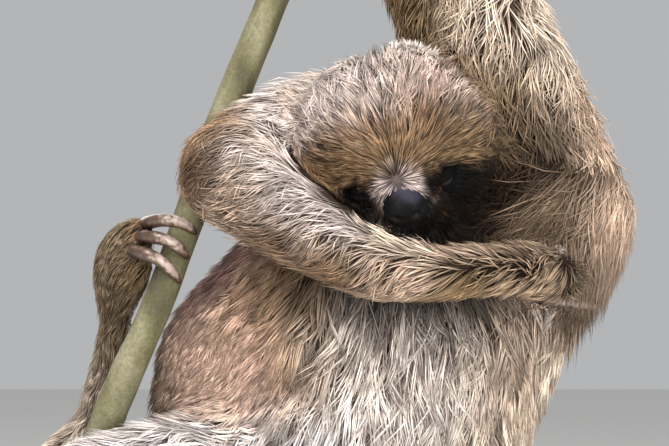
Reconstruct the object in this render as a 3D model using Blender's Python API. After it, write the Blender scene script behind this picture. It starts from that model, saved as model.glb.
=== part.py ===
"""A life-size still model of a three-toed sloth that clings to a short stem.

Metres, +Z up.  The animal faces -Y, and +X is the viewer's right.  Left and
right in the names are the animal's own, so its right side is at -X.  The
origin is the middle of the stand's underside.  Every solid of the animal
reaches out to the tips of its coat.
"""

import math

import bmesh
import bpy
from mathutils import Matrix, Vector

# Driving dimensions
GAP = 0.0005              # clearance left where one solid is let into another
STEM_RADIUS = 0.0067
STEM_LOW_Z = 0.094
EYE_RADIUS = 0.0055
EYE_SPACING = 0.0330
BASE_SIZE = (0.330, 0.270, 0.018)
BASE_CORNER = 0.030
ROD_RADIUS = 0.0050
RUMP_ROD = (0.008, 0.014, 0.078)    # x, y and the height that it enters the rump to
FLANGE_RADIUS = 0.013
FLANGE_HEIGHT = 0.004
CUP_RADIUS = 0.0095
CUP_HEIGHT = 0.021
CLAW_RADIUS = 0.0021

# Sides of the round sections
TRUNK_SIDES = 20
HEAD_SIDES = 20
LIMB_SIDES = 12
PAW_SIDES = 10
STEM_SIDES = 10
ROD_SIDES = 14
CLAW_SIDES = 5

# The head's own frame: nose down and head rolled towards its right side
HEAD_CENTRE = Vector((0.027, -0.070, 0.308))
HEAD_PITCH = math.radians(25)
HEAD_ROLL = math.radians(14)

# Colours (linear) and roughness of the plain materials
COAT = (0.42, 0.32, 0.24)
COAT_PALE = (0.60, 0.50, 0.42)
COAT_DARK = (0.22, 0.16, 0.10)
NOSE_BLACK = (0.020, 0.019, 0.022)
EYE_BROWN = (0.030, 0.016, 0.010)
CLAW_HORN = (0.45, 0.36, 0.27)
STEM_GREEN = (0.25, 0.26, 0.16)
STAND_WOOD = (0.16, 0.10, 0.06)
STAND_METAL = (0.30, 0.29, 0.27)


def clear_scene():
    for item in list(bpy.data.objects):
        bpy.data.objects.remove(item, do_unlink=True)


def make_material(name, colour, roughness=0.7, metallic=0.0):
    material = bpy.data.materials.new(name)
    material.use_nodes = True
    shader = material.node_tree.nodes["Principled BSDF"]
    shader.inputs["Base Color"].default_value = (*colour, 1.0)
    shader.inputs["Roughness"].default_value = roughness
    shader.inputs["Metallic"].default_value = metallic
    return material


def object_from_bmesh(name, shape, material, smooth_angle=45):
    bmesh.ops.recalc_face_normals(shape, faces=shape.faces)
    mesh = bpy.data.meshes.new(name)
    shape.to_mesh(mesh)
    shape.free()
    mesh.shade_smooth()
    mesh.set_sharp_from_angle(angle=math.radians(smooth_angle))
    mesh.materials.append(material)
    item = bpy.data.objects.new(name, mesh)
    bpy.context.collection.objects.link(item)
    return item


def spline(stations, steps):
    """Points along a Catmull-Rom curve through the stations, ends included."""
    rows = [Vector(row) for row in stations]
    padded = [2 * rows[0] - rows[1], *rows, 2 * rows[-1] - rows[-2]]
    spans = len(rows) - 1
    result = []
    for step in range(steps + 1):
        place = step * spans / steps
        index = min(int(place), spans - 1)
        t = place - index
        a, b, c, d = padded[index:index + 4]
        result.append(0.5 * (2 * b + (c - a) * t + (2 * a - 5 * b + 4 * c - d) * t * t
                             + (3 * b - 3 * c + d - a) * t * t * t))
    return result


def add_ring(shape, centre, across, deep, sides):
    """One closed section of the loft, as vertices."""
    ring = []
    for side in range(sides):
        angle = 2 * math.pi * side / sides
        ring.append(shape.verts.new(centre + across * math.cos(angle) + deep * math.sin(angle)))
    return ring


def join_rings(shape, first, second):
    sides = len(first)
    for side in range(sides):
        after = (side + 1) % sides
        shape.faces.new((first[side], first[after], second[after], second[side]))


def close_with_pole(shape, ring, pole_place):
    pole = shape.verts.new(pole_place)
    sides = len(ring)
    for side in range(sides):
        shape.faces.new((ring[side], ring[(side + 1) % sides], pole))


def loft(name, stations, material, sides=LIMB_SIDES, steps=7, deep_axis=(0, 1, 0),
         cap_rings=2, flat_ends=False, bulge=(1.0, 1.0), square_to=None):
    """A tube with oval sections and round ends through the stations.

    A station is x, y, z, its half width across, and its half depth along
    deep_axis.  A round end reaches past its station by its radius times bulge.
    The sections stand square to the path, or all to the direction square_to.
    """
    rows = spline([tuple(map(float, row)) for row in wide_rows(stations)], steps)
    centres = [Vector(row[0:3]) for row in rows]
    shape = bmesh.new()
    rings = []
    last = len(rows) - 1
    for index, row in enumerate(rows):
        path = centres[min(index + 1, last)] - centres[max(index - 1, 0)]
        along = Vector(square_to or path).normalized()
        across = along.cross(Vector(deep_axis)).normalized()
        deep = across.cross(along).normalized()
        axes = (across * row[3], deep * row[4])
        if index == 0 and not flat_ends:
            start = -along * bulge[0] * end_radius(row)
            rings += end_rings(shape, centres[0], start, axes, sides, cap_rings)[::-1]
        rings.append(add_ring(shape, centres[index], *axes, sides))
        if index == last and not flat_ends:
            end = along * bulge[1] * end_radius(row)
            rings += end_rings(shape, centres[last], end, axes, sides, cap_rings)
    for first, second in zip(rings, rings[1:]):
        join_rings(shape, first, second)
    if flat_ends:
        shape.faces.new(rings[0])
        shape.faces.new(rings[-1][::-1])
    else:
        close_with_pole(shape, rings[0], centres[0] + start)
        close_with_pole(shape, rings[-1], centres[last] + end)
    return object_from_bmesh(name, shape, material)


def wide_rows(stations):
    """Stations with four values are round: their depth is their width."""
    return [row if len(row) == 5 else (*row, row[3]) for row in stations]


def end_radius(row):
    return 0.5 * (row[3] + row[4])


def end_rings(shape, centre, reach, axes, sides, count):
    """The rings of a round end, from the last station outwards."""
    rings = []
    for index in range(1, count + 1):
        angle = 0.5 * math.pi * index / (count + 1)
        place = centre + reach * math.sin(angle)
        across, deep = (axis * math.cos(angle) for axis in axes)
        rings.append(add_ring(shape, place, across, deep, sides))
    return rings


def ball(name, centre, sizes, material, turn=None, columns=16, rows=10):
    """A round or oval ball: sizes are its three half axes in its own frame."""
    shape = bmesh.new()
    bmesh.ops.create_uvsphere(shape, u_segments=columns, v_segments=rows, radius=1.0)
    frame = turn.to_4x4() if turn else Matrix.Identity(4)
    scale = Matrix.Diagonal((*sizes, 1.0))
    bmesh.ops.transform(shape, matrix=Matrix.Translation(centre) @ frame @ scale, verts=shape.verts)
    return object_from_bmesh(name, shape, material)


def turned(name, foot, axis, profile, material, sides=ROD_SIDES):
    """A round solid turned about an axis: the profile is radius and height pairs."""
    shape = bmesh.new()
    turn = Vector((0, 0, 1)).rotation_difference(Vector(axis)).to_matrix()
    across, deep, along = (turn.col[index] for index in range(3))
    rings = [add_ring(shape, Vector(foot) + along * height, across * radius, deep * radius, sides)
             for radius, height in profile]
    for first, second in zip(rings, rings[1:]):
        join_rings(shape, first, second)
    shape.faces.new(rings[0])
    shape.faces.new(rings[-1][::-1])
    return object_from_bmesh(name, shape, material)


def cutter_for(item):
    """A copy of a solid, swollen by the gap, that is only used to cut others."""
    name = "cutter_" + item.name
    if name in bpy.data.objects:
        return bpy.data.objects[name]
    shape = bmesh.new()
    shape.from_mesh(item.data)
    shape.normal_update()
    for vertex in shape.verts:
        vertex.co += vertex.normal * GAP
    mesh = bpy.data.meshes.new(name)
    shape.to_mesh(mesh)
    shape.free()
    cutter = bpy.data.objects.new(name, mesh)
    bpy.context.collection.objects.link(cutter)
    cutter.hide_render = True
    cutter.display_type = "WIRE"
    return cutter


def let_in(item, *neighbours):
    """Cut room for each neighbour out of a solid."""
    for neighbour in neighbours:
        cut = item.modifiers.new("room_" + neighbour.name, "BOOLEAN")
        cut.operation = "DIFFERENCE"
        cut.solver = "EXACT"
        cut.object = cutter_for(neighbour)


# ---------------------------------------------------------------- the animal

def head_turn():
    """Columns: the head's own sideways, upward and forward directions."""
    forward = Vector((0, -math.cos(HEAD_PITCH), -math.sin(HEAD_PITCH)))
    level_up = Vector((0, -math.sin(HEAD_PITCH), math.cos(HEAD_PITCH)))
    sideways = Vector((1, 0, 0)) * math.cos(HEAD_ROLL) + level_up * math.sin(HEAD_ROLL)
    upward = level_up * math.cos(HEAD_ROLL) - Vector((1, 0, 0)) * math.sin(HEAD_ROLL)
    return Matrix((sideways, upward, forward)).transposed()


def head_point(sideways, upward, forward):
    return HEAD_CENTRE + head_turn() @ Vector((sideways, upward, forward))


def make_head():
    # forward place, drop of the section's middle, half width, half height
    profile = [
        (-0.034, 0.000, 0.029, 0.029),
        (-0.018, 0.000, 0.0415, 0.0410),
        (0.000, 0.000, 0.0440, 0.0440),
        (0.016, 0.000, 0.0420, 0.0420),
        (0.0270, 0.0030, 0.0364, 0.0375),
        (0.0335, 0.0060, 0.0282, 0.0296),
        (0.0385, 0.0083, 0.0196, 0.0222),
        (0.0440, 0.0096, 0.0153, 0.0170),
    ]
    stations = [(*head_point(0, -drop, forward), wide, high)
                for forward, drop, wide, high in profile]
    coat = make_material("head_coat", COAT)
    return loft("head", stations, coat, sides=HEAD_SIDES, steps=7,
                deep_axis=head_turn().col[1], bulge=(1.0, 0.55))


def make_nose():
    pad_size = (0.0094, 0.0080, 0.0046)
    material = make_material("nose_skin", NOSE_BLACK, roughness=0.35)
    return ball("nose", head_point(0, -0.007, 0.0505), pad_size, material,
                turn=head_turn(), columns=12, rows=7)


def make_eyes():
    eyes = []
    for name, side in (("eye_right", -1), ("eye_left", 1)):
        centre = head_point(side * EYE_SPACING / 2, -0.0045, 0.0352)
        material = make_material(name + "_gloss", EYE_BROWN, roughness=0.08)
        size = (EYE_RADIUS, EYE_RADIUS, EYE_RADIUS)
        eyes.append(ball(name, centre, size, material, turn=head_turn(), columns=12, rows=7))
    return eyes


def make_trunk():
    # the curved back leans to the animal's left at the shoulders
    stations = [
        (0.057, 0.020, 0.305, 0.060, 0.054),
        (0.046, 0.010, 0.273, 0.082, 0.071),
        (0.031, 0.012, 0.250, 0.090, 0.0755),
        (0.017, 0.017, 0.225, 0.0955, 0.078),
        (0.003, 0.018, 0.180, 0.0885, 0.075),
        (0.005, 0.015, 0.136, 0.077, 0.069),
        (0.008, 0.014, 0.104, 0.052, 0.050),
    ]
    return loft("trunk", stations, make_material("trunk_coat", COAT_PALE),
                sides=TRUNK_SIDES, steps=12, bulge=(0.8, 1.0), square_to=(0, 0, -1))


def make_neck():
    stations = [(0.052, 0.006, 0.306, 0.036), (0.040, -0.035, 0.308, 0.035)]
    return loft("neck", stations, make_material("neck_coat", COAT), steps=2,
                deep_axis=(0, 0, 1))


def make_tail():
    stations = [(0.020, 0.052, 0.096, 0.017), (0.023, 0.078, 0.086, 0.0145),
                (0.026, 0.100, 0.080, 0.011)]
    return loft("tail", stations, make_material("tail_coat", COAT), sides=PAW_SIDES, steps=4,
                deep_axis=(0, 0, 1))


def make_right_arm():
    """The folded arm: its elbow juts to the viewer's left, its hand holds the far flank."""
    upper = loft("arm_right_upper", [
        (0.014, 0.012, 0.314, 0.032),
        (-0.014, -0.034, 0.3115, 0.0280),
        (-0.0385, -0.068, 0.3005, 0.0248),
    ], make_material("arm_right_upper_coat", COAT_PALE), steps=4, deep_axis=(0, 0, 1))
    lower = loft("arm_right_lower", [
        (-0.0430, -0.080, 0.2950, 0.0253),
        (-0.0143, -0.099, 0.2725, 0.0190, 0.0210),
        (0.0188, -0.105, 0.2545, 0.0150, 0.0190),
        (0.0395, -0.102, 0.2534, 0.0135, 0.0180),
        (0.0602, -0.0905, 0.2543, 0.0135, 0.0165),
        (0.0755, -0.0750, 0.2546, 0.0138, 0.0150),
    ], make_material("arm_right_lower_coat", COAT_PALE), sides=PAW_SIDES, steps=9)
    hand = loft("hand_right", [
        (0.0830, -0.0655, 0.2543, 0.0140, 0.0135),
        (0.0930, -0.0525, 0.2520, 0.0142, 0.0130),
        (0.1015, -0.0395, 0.2495, 0.0125, 0.0110),
    ], make_material("hand_right_coat", COAT), sides=PAW_SIDES, steps=4)
    return upper, lower, hand


def make_left_arm():
    """The raised arm, which hangs the animal from the stem's upper end."""
    upper = loft("arm_left_upper", [
        (0.0900, -0.008, 0.288, 0.040),
        (0.0790, -0.022, 0.318, 0.0370),
        (0.0670, -0.033, 0.346, 0.0350),
        (0.0545, -0.034, 0.374, 0.0350),
        (0.0445, -0.032, 0.402, 0.0315),
    ], make_material("arm_left_upper_coat", COAT), steps=5)
    lower = loft("arm_left_lower", [
        (0.0415, -0.030, 0.424, 0.0265),
        (0.0440, -0.024, 0.460, 0.0222),
        (0.0550, -0.014, 0.500, 0.0180),
        (0.0660, -0.004, 0.533, 0.0130),
    ], make_material("arm_left_lower_coat", COAT), sides=PAW_SIDES, steps=6)
    hand = loft("hand_left", [
        (0.0710, 0.0000, 0.5430, 0.0125),
        (0.0765, 0.0040, 0.5530, 0.0135, 0.0125),
        (0.0790, 0.0080, 0.5640, 0.0125, 0.0115),
    ], make_material("hand_left_coat", COAT_DARK), sides=PAW_SIDES, steps=4)
    return upper, lower, hand


def make_right_leg():
    """The thigh crosses in front of the stem and the shin rises behind it."""
    upper = loft("leg_right_upper", [
        (-0.020, 0.002, 0.159, 0.043),
        (-0.060, -0.035, 0.162, 0.0345),
        (-0.100, -0.050, 0.162, 0.0270),
    ], make_material("leg_right_upper_coat", COAT_PALE), steps=4, deep_axis=(0, 0, 1))
    lower = loft("leg_right_lower", [
        (-0.1220, -0.034, 0.152, 0.0210),
        (-0.1290, -0.008, 0.159, 0.0165),
        (-0.1085, 0.012, 0.177, 0.0140),
        (-0.1010, 0.007, 0.198, 0.0130),
        (-0.0985, 0.002, 0.216, 0.0105),
        (-0.0970, -0.001, 0.228, 0.0098),
    ], make_material("leg_right_lower_coat", COAT_DARK), sides=PAW_SIDES, steps=7)
    foot = loft("foot_right", [
        (-0.0970, -0.005, 0.2370, 0.0102),
        (-0.0935, -0.015, 0.2520, 0.0150, 0.0125),
        (-0.0900, -0.021, 0.2640, 0.0135, 0.0118),
        (-0.0835, -0.026, 0.2695, 0.0100, 0.0085),
    ], make_material("foot_right_coat", COAT_DARK), sides=PAW_SIDES, steps=6)
    return upper, lower, foot


def make_left_leg():
    """The far leg folds low across the belly to the stem's lower end."""
    upper = loft("leg_left_upper", [
        (0.038, 0.006, 0.141, 0.042),
        (0.014, -0.040, 0.128, 0.034),
        (-0.010, -0.074, 0.114, 0.0270),
    ], make_material("leg_left_upper_coat", COAT_PALE), steps=4, deep_axis=(0, 0, 1))
    lower = loft("leg_left_lower", [
        (-0.0180, -0.080, 0.111, 0.0250),
        (-0.0450, -0.070, 0.112, 0.0190),
        (-0.0720, -0.049, 0.117, 0.0130),
        (-0.0870, -0.031, 0.121, 0.0105),
    ], make_material("leg_left_lower_coat", COAT_DARK), sides=PAW_SIDES, steps=7)
    foot = loft("foot_left", [
        (-0.0915, -0.021, 0.1230, 0.0110),
        (-0.0965, -0.008, 0.1255, 0.0130, 0.0120),
        (-0.0990, 0.003, 0.1275, 0.0125, 0.0110),
    ], make_material("foot_left_coat", COAT_DARK), sides=PAW_SIDES, steps=4)
    return upper, lower, foot


# ------------------------------------------------------------------ the stem

def stem_rows():
    """The stem's middle line from its lower to its upper end."""
    return [
        (-0.1260, 0.010, 0.085),
        (-0.1185, 0.004, 0.1237),
        (-0.1045, -0.0115, 0.1755),
        (-0.0739, -0.029, 0.2467),
        (-0.0448, -0.010, 0.3297),
        (-0.0075, 0.000, 0.4170),
        (0.0360, 0.008, 0.5050),
        (0.0624, 0.014, 0.5600),
        (0.0745, 0.016, 0.5880),
    ]


def stem_point(height):
    """The place on the stem's middle line at a height."""
    rows = spline(stem_rows(), 80)
    for low, high in zip(rows, rows[1:]):
        if low.z <= height <= high.z:
            return low.lerp(high, (height - low.z) / (high.z - low.z))
    return rows[-1]


def make_stem():
    rows = []
    line = spline(stem_rows(), 14)
    for index, place in enumerate(line):
        swell = 1 + 0.05 * math.sin(2.1 * index) + 0.06 * (1 - index / len(line))
        rows.append((*place, STEM_RADIUS * swell))
    return loft("perch_stem", rows, make_material("stem_bark", STEM_GREEN, roughness=0.85),
                sides=STEM_SIDES, steps=len(rows) - 1, flat_ends=True)


# ----------------------------------------------------------------- the claws

def make_claw(name, places, material, radius=CLAW_RADIUS):
    """A claw through its places, deep in its own curve and tapering to a point."""
    path = spline(places, 5)
    bend = (path[-1] - path[0]).cross(path[2] - path[0]).normalized()
    taper = (1.0, 1.06, 1.02, 0.90, 0.66, 0.24)
    stations = [(*place, radius * wide * 1.25, radius * wide)
                for place, wide in zip(path, taper)]
    return loft(name, stations, material, sides=CLAW_SIDES, steps=5,
                deep_axis=bend, cap_rings=1)


def make_right_foot_claws():
    """Three claws from the foot over the stem's front, with their tips on the stem."""
    horn = make_material("claw_horn_foot_right", CLAW_HORN, roughness=0.4)
    claws = []
    for index in range(3):
        base = Vector((-0.0800 - 0.0030 * index, -0.030, 0.2738 - 0.0062 * index))
        tip = Vector((-0.0605 - 0.0035 * index, -0.0365, 0.2695 - 0.0105 * index))
        lift = Vector((0.0008, 0.0, 0.0032))
        places = [
            base + Vector((-0.0025, 0.0050, -0.0005)),
            base.lerp(tip, 0.14) + Vector((0, -0.0075, 0.0012)),
            base.lerp(tip, 0.55) + Vector((0, -0.0092, 0)) + lift,
            base.lerp(tip, 0.86) + Vector((0, -0.0042, 0)) + lift * 0.5,
            tip,
        ]
        claws.append(make_claw(f"claw_foot_right_{index + 1}", places, horn))
    return claws


def make_wrapping_claws(stem_name, low_height, spacing, turns):
    """Three claws from a hand or foot on the stem's right side, round its front."""
    horn = make_material("claw_horn_" + stem_name, CLAW_HORN, roughness=0.4)
    claws = []
    for index in range(3):
        middle = stem_point(low_height + spacing * index)
        along = (stem_point(middle.z + 0.01) - stem_point(middle.z - 0.01)).normalized()
        right = Vector((0, 1, 0)).cross(along).normalized()
        front = along.cross(right).normalized()
        if front.y > 0:
            front = -front
        places = []
        for step in range(7):
            part = step / 6
            angle = math.radians(-8 + turns * part)
            reach = 0.0168 - 0.0066 * min(1, 1.6 * part) - 0.0008 * part
            places.append(middle + right * reach * math.cos(angle) + front * reach * math.sin(angle)
                          - along * 0.002 * part)
        claws.append(make_claw(f"claw_{stem_name}_{index + 1}", places, horn))
    return claws


def make_flank_claws():
    """The folded arm's claws lie along the flank, half sunk in its coat."""
    horn = make_material("claw_horn_hand_right", CLAW_HORN, roughness=0.4)
    claws = []
    for index in range(3):
        height = 0.2555 - 0.0075 * index
        places = []
        for step in range(5):
            angle = math.radians(-44 + 12 * step)
            rise = height - 0.0012 * step - 0.250
            places.append(Vector((0.0310 + 0.63 * rise + (0.0885 - 0.36 * rise) * math.cos(angle),
                                  0.0120 + (0.0738 - 0.15 * rise) * math.sin(angle),
                                  0.250 + rise)))
        claws.append(make_claw(f"claw_hand_right_{index + 1}", places, horn))
    return claws


# ----------------------------------------------------------------- the stand

def make_base():
    width, depth, height = BASE_SIZE
    shape = bmesh.new()
    outline = []
    for corner in range(4):
        middle = Vector(((width / 2 - BASE_CORNER) * (1, -1, -1, 1)[corner],
                         (depth / 2 - BASE_CORNER) * (1, 1, -1, -1)[corner], 0))
        for step in range(5):
            angle = math.radians(90 * corner + 22.5 * step)
            outline.append(middle + BASE_CORNER * Vector((math.cos(angle), math.sin(angle), 0)))
    face = shape.faces.new([shape.verts.new(place) for place in outline])
    grown = bmesh.ops.extrude_face_region(shape, geom=[face])
    raised = [part for part in grown["geom"] if isinstance(part, bmesh.types.BMVert)]
    bmesh.ops.translate(shape, vec=(0, 0, height), verts=raised)
    base = object_from_bmesh("stand_base", shape, make_material("stand_wood", STAND_WOOD, 0.4),
                             smooth_angle=30)
    soften = base.modifiers.new("soft_edge", "BEVEL")
    soften.width = 0.003
    soften.segments = 1
    soften.limit_method = "ANGLE"
    return base


def flanged_rod(name, x, y, top, material):
    """An upright rod on a small screwed-down flange."""
    foot = BASE_SIZE[2] + GAP
    profile = [
        (FLANGE_RADIUS, 0.0),
        (FLANGE_RADIUS, FLANGE_HEIGHT * 0.7),
        (FLANGE_RADIUS - 0.001, FLANGE_HEIGHT),
        (ROD_RADIUS, FLANGE_HEIGHT),
        (ROD_RADIUS, top - foot),
    ]
    return turned(name, (x, y, foot), (0, 0, 1), profile, material)


def make_stand():
    """The base, the rod under the rump and the rod with its cup under the stem."""
    metal = make_material("stand_metal", STAND_METAL, roughness=0.35, metallic=1.0)
    make_base()
    rod_body = flanged_rod("stand_rod_body", *RUMP_ROD, metal)
    stem_foot = stem_point(STEM_LOW_Z)
    along = (stem_point(STEM_LOW_Z + 0.02) - stem_foot).normalized()
    cup_foot = stem_foot - along * 0.013
    cup_profile = [(CUP_RADIUS - 0.001, 0.0), (CUP_RADIUS, 0.001), (CUP_RADIUS, CUP_HEIGHT - 0.001),
                   (CUP_RADIUS - 0.001, CUP_HEIGHT)]
    cup = turned("stand_cup", cup_foot, along, cup_profile, metal)
    rod_perch = flanged_rod("stand_rod_perch", cup_foot.x, cup_foot.y, cup_foot.z + 0.003, metal)
    return rod_body, rod_perch, cup


def build():
    clear_scene()
    head = make_head()
    nose = make_nose()
    eyes = make_eyes()
    trunk = make_trunk()
    neck = make_neck()
    tail = make_tail()
    arm_right = make_right_arm()
    arm_left = make_left_arm()
    leg_right = make_right_leg()
    leg_left = make_left_leg()
    stem = make_stem()
    foot_claws = make_right_foot_claws()
    hand_claws = make_wrapping_claws("hand_left", 0.552, 0.0085, 200)
    low_claws = make_wrapping_claws("foot_left", 0.1175, 0.0085, 165)
    flank_claws = make_flank_claws()
    rod_body, rod_perch, cup = make_stand()

    let_in(head, nose, *eyes, arm_right[1])
    let_in(neck, head, arm_right[0], arm_left[0])
    let_in(arm_right[0], arm_right[1], arm_left[0], head)
    let_in(arm_right[1], arm_right[2])
    let_in(arm_right[2], *flank_claws)
    let_in(arm_left[0], arm_left[1], head)
    let_in(arm_left[1], arm_left[2])
    let_in(arm_left[2], stem, *hand_claws)
    let_in(leg_right[0], leg_right[1])
    let_in(leg_right[1], leg_right[2], stem)
    let_in(leg_right[2], stem, *foot_claws)
    let_in(leg_left[0], leg_left[1], leg_right[0])
    let_in(leg_left[1], leg_left[2])
    let_in(leg_left[2], stem, *low_claws)
    let_in(trunk, head, neck, arm_right[0], arm_left[0], arm_right[2], *flank_claws,
           leg_right[0], leg_left[0], tail, rod_body)
    let_in(cup, stem)
    let_in(rod_perch, cup)


build()
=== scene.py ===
import math
import bmesh
import bpy
import numpy as np
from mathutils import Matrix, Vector
from mathutils.bvhtree import BVHTree
from mathutils.kdtree import KDTree


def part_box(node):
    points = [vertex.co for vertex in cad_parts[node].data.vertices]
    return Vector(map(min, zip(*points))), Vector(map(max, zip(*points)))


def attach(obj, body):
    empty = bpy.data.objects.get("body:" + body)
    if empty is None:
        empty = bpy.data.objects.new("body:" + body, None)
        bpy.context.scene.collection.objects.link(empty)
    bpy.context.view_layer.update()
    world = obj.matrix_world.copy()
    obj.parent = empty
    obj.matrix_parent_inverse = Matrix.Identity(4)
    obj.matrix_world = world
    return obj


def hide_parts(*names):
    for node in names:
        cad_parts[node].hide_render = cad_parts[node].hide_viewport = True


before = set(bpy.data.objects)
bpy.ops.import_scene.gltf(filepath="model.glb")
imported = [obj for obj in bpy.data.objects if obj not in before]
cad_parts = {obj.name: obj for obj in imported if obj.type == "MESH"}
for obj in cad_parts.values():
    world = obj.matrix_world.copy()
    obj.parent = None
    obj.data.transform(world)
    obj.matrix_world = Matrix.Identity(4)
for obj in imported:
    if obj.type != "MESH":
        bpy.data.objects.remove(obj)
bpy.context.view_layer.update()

# The nodes of flesh, and what their coat is like. Depth is from the tips of the
# hairs, where the solids reach, down to the skin. Unruly is how far hairs stray.
coatColumns = ("depth", "hair", "girth", "unruly", "part")
coatRows = {
    "head": (0.0075, 0.0250, 0.00034, 0.38, "head"),
    "nose": (0.0003, 0.0030, 0.00014, 0.10, "head"),
    "neck": (0.0100, 0.0300, 0.00042, 0.30, "trunk"),
    "trunk": (0.0110, 0.0340, 0.00042, 0.28, "trunk"),
    "tail": (0.0045, 0.0140, 0.00036, 0.28, "legLeft"),
    "arm_right_upper": (0.0085, 0.0230, 0.00034, 0.46, "armRight"),
    "arm_right_lower": (0.0060, 0.0190, 0.00032, 0.52, "armRight"),
    "hand_right": (0.0035, 0.0140, 0.00030, 0.25, "armRight"),
    "arm_left_upper": (0.0085, 0.0260, 0.00038, 0.78, "armLeft"),
    "arm_left_lower": (0.0045, 0.0190, 0.00036, 0.55, "armLeft"),
    "hand_left": (0.0028, 0.0100, 0.00026, 0.22, "armLeft"),
    "leg_right_upper": (0.0090, 0.0270, 0.00038, 0.30, "legRight"),
    "leg_right_lower": (0.0030, 0.0110, 0.00028, 0.28, "legRight"),
    "foot_right": (0.0020, 0.0080, 0.00024, 0.22, "legRight"),
    "leg_left_upper": (0.0095, 0.0270, 0.00040, 0.30, "legLeft"),
    "leg_left_lower": (0.0045, 0.0160, 0.00036, 0.28, "legLeft"),
    "foot_left": (0.0025, 0.0090, 0.00028, 0.22, "legLeft"),
}
coatOf = {node: dict(zip(coatColumns, row)) for node, row in coatRows.items()}
fleshNodes = list(coatRows)
partNames = ["head", "armRight", "armLeft", "trunk", "legRight", "legLeft"]

# Coat colours as sRGB: at the root of a hair, and at its tip
shades = {
    "pearl": ((0.33, 0.27, 0.225), (0.88, 0.83, 0.805)),
    "cream": ((0.46, 0.345, 0.275), (1.00, 0.96, 0.925)),
    "blush": ((0.60, 0.51, 0.48), (1.00, 0.98, 0.97)),
    "wheat": ((0.27, 0.20, 0.14), (0.97, 0.89, 0.81)),
    "fawn": ((0.23, 0.17, 0.12), (0.86, 0.75, 0.66)),
    "dusty": ((0.15, 0.115, 0.09), (0.88, 0.785, 0.74)),
    "tan": ((0.54, 0.42, 0.35), (0.98, 0.84, 0.76)),
    "gold": ((0.055, 0.040, 0.026), (0.60, 0.485, 0.365)),
    "smoke": ((0.15, 0.115, 0.085), (0.72, 0.62, 0.52)),
    "hazel": ((0.14, 0.105, 0.075), (0.62, 0.50, 0.39)),
    "olive": ((0.10, 0.08, 0.045), (0.60, 0.50, 0.37)),
    "greyBrown": ((0.15, 0.12, 0.09), (0.62, 0.54, 0.44)),
    "umber": ((0.09, 0.065, 0.045), (0.40, 0.30, 0.21)),
    "russet": ((0.05, 0.035, 0.025), (0.22, 0.145, 0.095)),
    "amber": ((0.14, 0.09, 0.05), (0.46, 0.32, 0.20)),
    "ash": ((0.085, 0.075, 0.07), (0.36, 0.315, 0.29)),
    "soot": ((0.03, 0.025, 0.022), (0.15, 0.125, 0.11)),
    "mask": ((0.010, 0.008, 0.007), (0.030, 0.024, 0.020)),
    "lilac": ((0.36, 0.31, 0.305), (0.86, 0.79, 0.765)),
    "mauve": ((0.36, 0.27, 0.27), (0.50, 0.38, 0.37)),
    "violet": ((0.42, 0.36, 0.47), (0.60, 0.52, 0.66)),
}
# noseTop is a painted highlight: a bluish sheen on the top of the black nose pad
bareShades = {"noseTop": (0.195, 0.185, 0.235), "noseBlack": (0.008, 0.007, 0.009),
              "lidBlack": (0.014, 0.012, 0.012)}


def linear(colour):
    c = np.asarray(colour, float)
    return np.where(c <= 0.04045, c / 12.92, ((c + 0.055) / 1.055) ** 2.4)


def unit(vectors):
    length = np.linalg.norm(vectors, axis=-1, keepdims=True)
    return vectors / np.maximum(length, 1e-9)


def ease(values, low, high):
    t = np.clip((values - low) / (high - low), 0, 1)
    return t * t * (3 - 2 * t)


def boxOf(node):
    return np.array(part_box(node))


def inBox(points, node):
    # where points lie in a node's box, as shares of its sides
    low, high = boxOf(node)
    return ((points - low) / (high - low)).T


def mirrored(local):
    # both halves of the face as the left one
    half = local.copy()
    half[:, 0] = np.abs(half[:, 0])
    return half


def meshArrays(obj):
    count = len(obj.data.vertices)
    co = np.empty(count * 3, np.float32)
    obj.data.vertices.foreach_get("co", co)
    obj.data.calc_loop_triangles()
    tris = np.empty(len(obj.data.loop_triangles) * 3, np.int32)
    obj.data.loop_triangles.foreach_get("vertices", tris)
    return co.reshape(-1, 3).astype(float), tris.reshape(-1, 3)


def addObject(name, data):
    obj = bpy.data.objects.new(name, data)
    bpy.context.scene.collection.objects.link(obj)
    return obj


def meshObject(name, points, faces, smooth=True):
    # faces may have any number of corners
    mesh = bpy.data.meshes.new(name)
    mesh.from_pydata([list(place) for place in points], [], faces)
    mesh.polygons.foreach_set("use_smooth", [smooth] * len(mesh.polygons))
    return addObject(name, mesh)


def newMesh(name, points, faces):
    # the quick way, for faces with the same number of corners
    mesh = bpy.data.meshes.new(name)
    points = np.asarray(points, np.float32)
    faces = np.asarray(faces, np.int32)
    sides = faces.shape[1]
    mesh.vertices.add(len(points))
    mesh.vertices.foreach_set("co", points.ravel())
    mesh.loops.add(faces.size)
    mesh.loops.foreach_set("vertex_index", faces.ravel())
    mesh.polygons.add(len(faces))
    mesh.polygons.foreach_set("loop_start", np.arange(len(faces), dtype=np.int32) * sides)
    mesh.polygons.foreach_set("loop_total", np.full(len(faces), sides, np.int32))
    mesh.polygons.foreach_set("use_smooth", np.full(len(faces), True))
    mesh.update(calc_edges=True)
    return addObject(name, mesh)


def paintPoints(obj, name, colours):
    layer = obj.data.attributes.new(name, "FLOAT_COLOR", "POINT")
    rgba = np.ones((len(colours), 4), np.float32)
    rgba[:, :3] = colours
    layer.data.foreach_set("color", rgba.ravel())


def setPoints(obj, name, values):
    layer = obj.data.attributes.new(name, "FLOAT", "POINT")
    layer.data.foreach_set("value", np.asarray(values, np.float32))


def finishedCopy(obj, name):
    # the evaluated shape as a plain mesh at the origin
    graph = bpy.context.evaluated_depsgraph_get()
    mesh = bpy.data.meshes.new_from_object(obj.evaluated_get(graph))
    mesh.transform(obj.matrix_world)
    done = addObject(name, mesh)
    bpy.data.objects.remove(obj)
    mesh.name = name
    return done


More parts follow.
